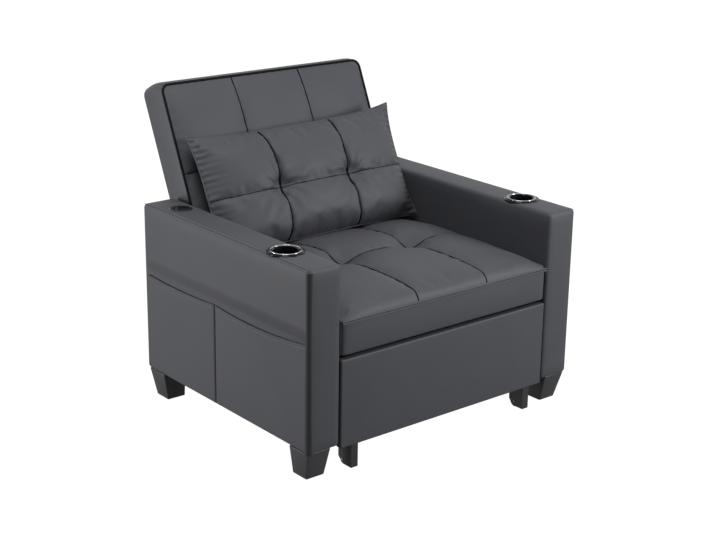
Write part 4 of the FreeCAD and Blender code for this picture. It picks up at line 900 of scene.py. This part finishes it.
def make_arm(name, side):
    """One arm's padded cover with its cup hole, its charging hole on the left, and its seams."""
    node = f"arm_cover_{name}"
    low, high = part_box(node)
    low.z -= ARM_SAG
    outer = low.x if side < 0 else high.x
    tiny = 0.0008
    rear = ARM_DEPTH - POCKET_MARGIN
    more_y = [FRONT + place for place in (POCKET_MARGIN, POCKET_MARGIN - tiny, rear, rear + tiny)]
    more_z = [POCKET_BASE, POCKET_BASE - tiny, POCKET_MOUTH, POCKET_MOUTH + POCKET_RAMP]
    cuts = (
        stations(low.x, high.x, 0.014, ends=(0.005, ARM_EDGE)),
        sorted(stations(low.y, high.y, 0.014, ends=(0.005, ARM_EDGE)) + (more_y if side < 0 else [])),
        sorted(stations(low.z, high.z, 0.018, ends=(0.005, ARM_EDGE)) + (more_z if side < 0 else [])),
    )
    cover = cut_box(f"arm_padding_{name}", low, high, cuts, through=0)
    cup_x, cup_y = (low.x + high.x) / 2, FRONT + CUP_SETBACK

    def rule(point):
        soft = eased(point, low, high, ARM_EDGE)
        fullness_y = rise(min(point.y - low.y, high.y - point.y), 0.05)
        fullness_z = rise(min(point.z - low.z, high.z - point.z), 0.05)
        fullness_x = rise(min(point.x - low.x, high.x - point.x), 0.02)
        wobble = noise.noise(point * 7) * 0.0008
        if abs(point.x - outer) < TINY:
            soft.x += side * ((0.0022 + wobble) * fullness_y * fullness_z)
            if side < 0:
                soft.x += pocket_depth(point.y, point.z)
        if point.z > high.z - TINY:
            away = math.hypot(point.x - cup_x, point.y - cup_y)
            turn = math.atan2(point.y - cup_y, point.x - cup_x)
            ring = 0.0007 * math.cos(15 * turn) * dip(away - 0.052, 0.008)
            crown = (0.0016 + wobble) * fullness_y * (1 - dip(away, 0.055))
            soft.z += (crown + ring) * fullness_x
        if point.y < low.y + TINY:
            soft.y -= (0.0016 + wobble) * fullness_x * fullness_z
        return soft

    reshape(cover, rule)
    cut_hole(cover, cup_x, cup_y, high.z, CUP_HOLE, CUP_HOLE_DEPTH)
    if side < 0:
        cut_hole(cover, cup_x, FRONT + PORT_SETBACK, high.z, PORT_HOLE, PORT_HOLE_DEPTH)
    rim_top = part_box(f"cup_rim_{name}")[1].z
    # A bright chrome bead at the inner edge, and a lip ring in the chrome whose near-black colour is painted
    # reflection.
    for ring, reach, height, radius, material in (
        ("bead", 0.0431, rim_top - 0.0002, 0.0013, CHROME),
        ("lip", 0.0520, high.z + 0.0006, 0.0026, CHROME_PAINTED_DARK),
    ):
        turns = steps(0, math.tau, 72)[:-1]
        circle = [
            Vector((cup_x + reach * math.cos(turn), cup_y + reach * math.sin(turn), height)) for turn in turns
        ]
        bead = welt(f"cup_{ring}_{name}", circle, radius, closed=True, sides=3)
        finish(bead, material, "chrome_ring", "frame")
    smooth(cover, levels=0, angle=35)
    finish(cover, LEATHER, "faux_leather", "frame", node)

    seam_x = outer - side * WELT_INSET
    drop = ARM_EDGE - math.sqrt(ARM_EDGE ** 2 - (ARM_EDGE - WELT_INSET) ** 2)
    line = [Vector((seam_x, y, high.z - drop)) for y in steps(low.y + drop, high.y - drop, 60)]
    finish(welt(f"arm_top_seam_{name}", line, 0.0006), EDGE, "faux_leather", "frame")
    for number, aside in enumerate((-0.0035, 0.0035)):
        row = [spot + Vector((side * aside, 0, 0.0002 - 0.9 * aside)) for spot in line]
        inward = Vector((-side * 0.6, 0, -0.8))
        row = laid(cover, row, inward, 0.0002)
        finish(stitches(f"arm_top_stitches_{name}_{number}", row), THREAD, "faux_leather", "frame")
    if side < 0:
        corner = Vector((outer + ARM_EDGE, low.y + ARM_EDGE, 0))
        line = [corner + Vector((0, 0, z)) for z in steps(low.z - 0.002, high.z - 0.009, 30)]
        gusset = welt("arm_front_gusset", line, ARM_EDGE + 0.0005, sides=8)
        finish(gusset, EDGE, "faux_leather", "frame")


# ---------------------------------------------------------------- side pockets

def pocket_top(share, start, end, sag):
    """Height of a pocket's sagging mouth at a share of its length."""
    return start + (end - start) * share - 4 * sag * share * (1 - share)


def make_pocket(name, start, end, start_top, end_top, sag, nodes):
    """One flat pocket: a sewn panel that sags at its mouth, with a rolled hem."""
    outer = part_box("pocket_panel_front")[0].x
    length = end - start
    columns = [0, 0.002, 0.005] + steps(0.012, length - 0.012, 32) + [length - 0.005, length - 0.002, length]
    rows = [0, 0.002, 0.005] + steps(0.012, 0.24, 20) + [0.262, 0.276, 0.286, 0.294]
    bpy.ops.object.select_all(action="DESELECT")
    bpy.ops.mesh.primitive_grid_add(
        x_subdivisions=len(columns) - 1, y_subdivisions=len(rows) - 1, size=1)
    panel = named(name)

    def rule(point):
        along = columns[round((point.x + 0.5) * (len(columns) - 1))]
        up = rows[round((point.y + 0.5) * (len(rows) - 1))]
        share = along / length
        top = pocket_top(share, start_top, end_top, sag)
        z = POCKET_BASE + up * (top - POCKET_BASE) / rows[-1]
        edge = min(along, length - along, up)
        belly = math.sin(math.pi * share)
        height = up / rows[-1]
        unevenness = noise.noise(Vector((share * 3, height * 2, start * 9)))
        out = belly * (0.0016 * height ** 3 + 0.0009 * unevenness)
        sunk = edge == length - along or edge == along and start > POCKET_MIDDLE
        sewn = POCKET_FLOOR if sunk else POCKET_FLUSH
        x = sewn + (outer - sewn) * rise(edge, 0.0018) - out
        return Vector((x, FRONT + start + along, z))

    reshape(panel, rule)
    select_only(panel)
    bpy.ops.object.mode_set(mode="EDIT")
    bpy.ops.mesh.select_all(action="SELECT")
    bpy.ops.mesh.normals_make_consistent(inside=False)
    bpy.ops.object.mode_set(mode="OBJECT")
    if panel.data.polygons[len(panel.data.polygons) // 2].normal.x > 0:
        panel.data.flip_normals()
    wall = panel.modifiers.new("wall", "SOLIDIFY")
    wall.thickness = POCKET_WALL
    wall.offset = -1
    bpy.ops.object.modifier_apply(modifier=wall.name)
    finish(smooth(panel, levels=0, angle=40), LEATHER, "faux_leather", "frame", *nodes)

    hem = []
    for share in steps(0.006, 0.994, 50):
        belly = math.sin(math.pi * share)
        top = pocket_top(share, start_top, end_top, sag)
        hem.append(Vector((outer - 0.0016 * belly + 0.0012, FRONT + start + share * length, top)))
    finish(welt(f"{name}_hem", hem, 0.0019), LEATHER, "faux_leather", "frame")
    row = [spot + Vector((-0.0008, 0, -0.009)) for spot in hem]
    row = laid(panel, row, Vector((1, 0, 0)), 0.0002)
    finish(stitches(f"{name}_stitches", row), THREAD, "faux_leather", "frame")


def make_pockets():
    """The two pockets on the left arm, side by side behind one divider."""
    gap = 0.0006
    make_pocket(
        "pocket_front_cover", POCKET_MARGIN, POCKET_MIDDLE - gap, 0.404, 0.395, 0.013,
        ("pocket_panel_front",))
    make_pocket(
        "pocket_rear_cover", POCKET_MIDDLE + gap, ARM_DEPTH - POCKET_MARGIN, 0.395, 0.393, 0.006,
        ("pocket_panel_rear", "pocket_binding"))


# ---------------------------------------------------------------- padded boards

def make_board(name, node, face, crown, radius, body, recess=None, fuller=0.0):
    """A thin padded cover with one crowned face, at -Y or +Y.

    It is hollow behind by recess for its board, and stands taller than its node by fuller.
    """
    low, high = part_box(node)
    high.z += fuller
    low.x, high.x = low.x + BOARD_INSET, high.x - BOARD_INSET
    cuts = (
        stations(low.x, high.x, 0.02, ends=(0.002, radius, 0.0064)),
        stations(low.y, high.y, 0.03, ends=(0.002, radius)),
        stations(low.z, high.z, 0.02, ends=(0.002, radius, 0.0064)),
    )
    cover = cut_box(name, low, high, cuts, through=1)
    front = low.y if face < 0 else high.y

    def rule(point):
        soft = eased(point, low, high, radius)
        edge_x = min(point.x - low.x, high.x - point.x)
        edge_z = min(point.z - low.z, high.z - point.z)
        if abs(point.y - front) < TINY:
            full = rise(edge_x, 0.05) * rise(edge_z, 0.04)
            soft.y += face * (crown + 0.0008 * noise.noise(point * 6)) * full
        elif recess and abs(point.y - (low.y + high.y - front)) < TINY and min(edge_x, edge_z) > BOARD_HEM:
            soft.y += face * recess
        return soft

    reshape(cover, rule)
    finish(smooth(cover, levels=0, angle=35), LEATHER, "faux_leather", body, node)


def make_rear_wrap():
    """The rear cover's leather, turned over the top of its rail and stapled down inside."""
    low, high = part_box("rear_rail")
    low.x, high.x = low.x + BOARD_INSET, high.x - BOARD_INSET
    low.z, high.z = high.z, high.z + 0.0012
    high.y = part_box("rear_cover")[1].y - 0.003
    wrap = cut_box("rear_wrap", low, high, ((), (), ()))
    finish(smooth(wrap, levels=0, angle=35), LEATHER, "faux_leather", "frame")


def make_base_cushion():
    """The cushion hidden under the seat, which the deck carries."""
    low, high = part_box("base_cushion")
    edge_z = low.z + 0.080
    top = Vector((high.x, high.y, edge_z))
    seam_y = (low.y + high.y) / 2
    cuts = (
        stations(low.x, high.x, 0.02, (-SEAT_SEAM_SIDE, SEAT_SEAM_SIDE), (0.006, 0.015)),
        stations(low.y, high.y, 0.02, (seam_y,), (0.006, 0.015)),
        stations(low.z, edge_z, 0.02, ends=(0.006, 0.015)),
    )
    cover = cut_box("base_cushion_cover", low, top, cuts)

    def rule(point):
        soft = eased(point, low, top, 0.015)
        share = (soft.z - low.z) / (edge_z - low.z)
        crown = rise(high.x - abs(soft.x), 0.05) * rise(min(soft.y - low.y, high.y - soft.y), 0.05)
        grooves = max(dip(abs(soft.x) - SEAT_SEAM_SIDE, 0.005), dip(soft.y - seam_y, 0.005))
        soft.z += max(share - 0.5, 0) * 2 * crown * (0.008 - 0.004 * grooves)
        return soft

    flat = reshape(cover, rule)
    held = []
    for point in flat:
        on_seam = abs(abs(point.x) - SEAT_SEAM_SIDE) < ON_LINE or abs(point.y - seam_y) < ON_LINE
        held.append(1.0 if on_seam or point.z < edge_z - TINY else 0.0)
    stuff(cover, held, cap=0.003)
    finish(smooth(cover), LEATHER, "faux_leather", "pull_out_base", "base_cushion")
    height = edge_z + 0.0045
    for name, side in SIDES:
        line = [Vector((side * SEAT_SEAM_SIDE, y, height)) for y in steps(low.y + 0.03, high.y - 0.03, 20)]
        finish(welt(f"base_seam_{name}", line, 0.0013), SEAM, "faux_leather", "pull_out_base")
    line = [Vector((x, seam_y, height)) for x in steps(low.x + 0.03, high.x - 0.03, 20)]
    finish(welt("base_seam_across", line, 0.0013), SEAM, "faux_leather", "pull_out_base")


# ---------------------------------------------------------------- legs

def make_leg(end, name):
    """A tapered block leg with softened edges."""
    node = f"{end}_leg_{name}"
    low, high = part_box(node)
    source = frame["nodes"][node].data.vertices
    foot = [vertex.co for vertex in source if vertex.co.z < low.z + 1e-5]
    high.z -= ARM_SAG
    bpy.ops.object.select_all(action="DESELECT")
    bpy.ops.mesh.primitive_cube_add(size=1, location=(low + high) / 2, scale=high - low)
    bpy.ops.object.transform_apply(location=True, rotation=True, scale=True)
    leg = named(f"{end}_leg_block_{name}")
    for vertex in leg.data.vertices:
        if vertex.co.z < (low.z + high.z) / 2:
            vertex.co.x = (min if vertex.co.x < (low.x + high.x) / 2 else max)(spot.x for spot in foot)
            vertex.co.y = (min if vertex.co.y < (low.y + high.y) / 2 else max)(spot.y for spot in foot)
    soft = leg.modifiers.new("soft", "BEVEL")
    soft.width = LEG_EDGE
    soft.segments = 3
    select_only(leg)
    bpy.ops.object.modifier_apply(modifier=soft.name)
    finish(smooth(leg, levels=0, angle=35), LEG_PLASTIC, "leg_finish", "frame", node)


# ---------------------------------------------------------------- stage

def make_stage():
    """A pale floor that fades into a white background, and soft lamps round the chair."""
    bpy.ops.object.select_all(action="DESELECT")
    bpy.ops.mesh.primitive_plane_add(size=60, location=(0, 0, 0))
    floor = named("studio_floor")
    material = bpy.data.materials.new("white_studio_floor")
    material.use_nodes = True
    tree = material.node_tree
    shader = tree.nodes["Principled BSDF"]
    shader.inputs["Base Color"].default_value = FLOOR_GREY
    shader.inputs["Roughness"].default_value = 0.9
    shader.inputs["Specular IOR Level"].default_value = 0.1
    path = add_node(tree, "ShaderNodeLightPath")
    glossy = add_node(tree, "ShaderNodeMath", {
        0: path.outputs["Is Glossy Ray"], 1: 0.3,
    }, operation="MULTIPLY")
    glow = add_node(tree, "ShaderNodeMath", {0: path.outputs["Is Camera Ray"], 1: glossy.outputs[0]})
    tree.links.new(glow.outputs[0], shader.inputs["Emission Strength"])
    shader.inputs["Emission Color"].default_value = (1, 1, 1, 1)
    floor.data.materials.append(material)

    world = bpy.data.worlds.new("white_studio")
    bpy.context.scene.world = world
    world.use_nodes = True
    tree = world.node_tree
    backdrop = tree.nodes["Background"]
    path = add_node(tree, "ShaderNodeLightPath")
    seen = add_node(tree, "ShaderNodeMath", {
        0: path.outputs["Is Camera Ray"], 1: path.outputs["Is Glossy Ray"],
    })
    seen = add_node(tree, "ShaderNodeMath", {
        0: seen.outputs[0], 1: path.outputs["Is Transmission Ray"],
    })
    level = add_node(tree, "ShaderNodeMapRange", {
        "Value": seen.outputs[0], "To Min": FILL_LIGHT, "To Max": 1.0,
    })
    tree.links.new(level.outputs["Result"], backdrop.inputs["Strength"])
    backdrop.inputs["Color"].default_value = (1, 1, 1, 1)

    for name, place, aim, width, power in LAMPS:
        toward = (Vector(aim) - Vector(place)).to_track_quat("-Z", "Y")
        bpy.ops.object.light_add(type="AREA", location=place, rotation=toward.to_euler())
        lamp = bpy.context.object
        lamp.name = f"{name}_softbox"
        lamp.data.shape = "DISK"
        lamp.data.size = width
        lamp.data.energy = power

    left, down, roll = (math.radians(angle) for angle in CAMERA_TURNS)
    turn = Matrix.Rotation(left, 4, "Z") @ Matrix.Rotation(down, 4, "X") @ Matrix.Rotation(roll, 4, "Z")
    bpy.ops.object.camera_add(location=CAMERA_PLACE, rotation=turn.to_euler())
    camera = bpy.context.object
    camera.data.sensor_width = 36
    camera.data.lens = CAMERA_LENS
    camera.data.clip_end = 100
    bpy.context.scene.camera = camera
    bpy.context.scene.view_settings.view_transform = "Standard"


dress_frame()
make_seat()
make_back()
make_pillow()
for side_name, side_sign in SIDES:
    make_arm(side_name, side_sign)
    make_leg("front", side_name)
    make_leg("rear", side_name)
make_pockets()
make_board(
    "front_panel_padding", "front_panel_cover", -1, 0.002, 0.0045, "pull_out_base",
    recess=-0.0125, fuller=0.002)
make_board("rear_padding", "rear_cover", 1, 0.002, 0.005, "frame")
make_rear_wrap()
make_base_cushion()
make_stage()
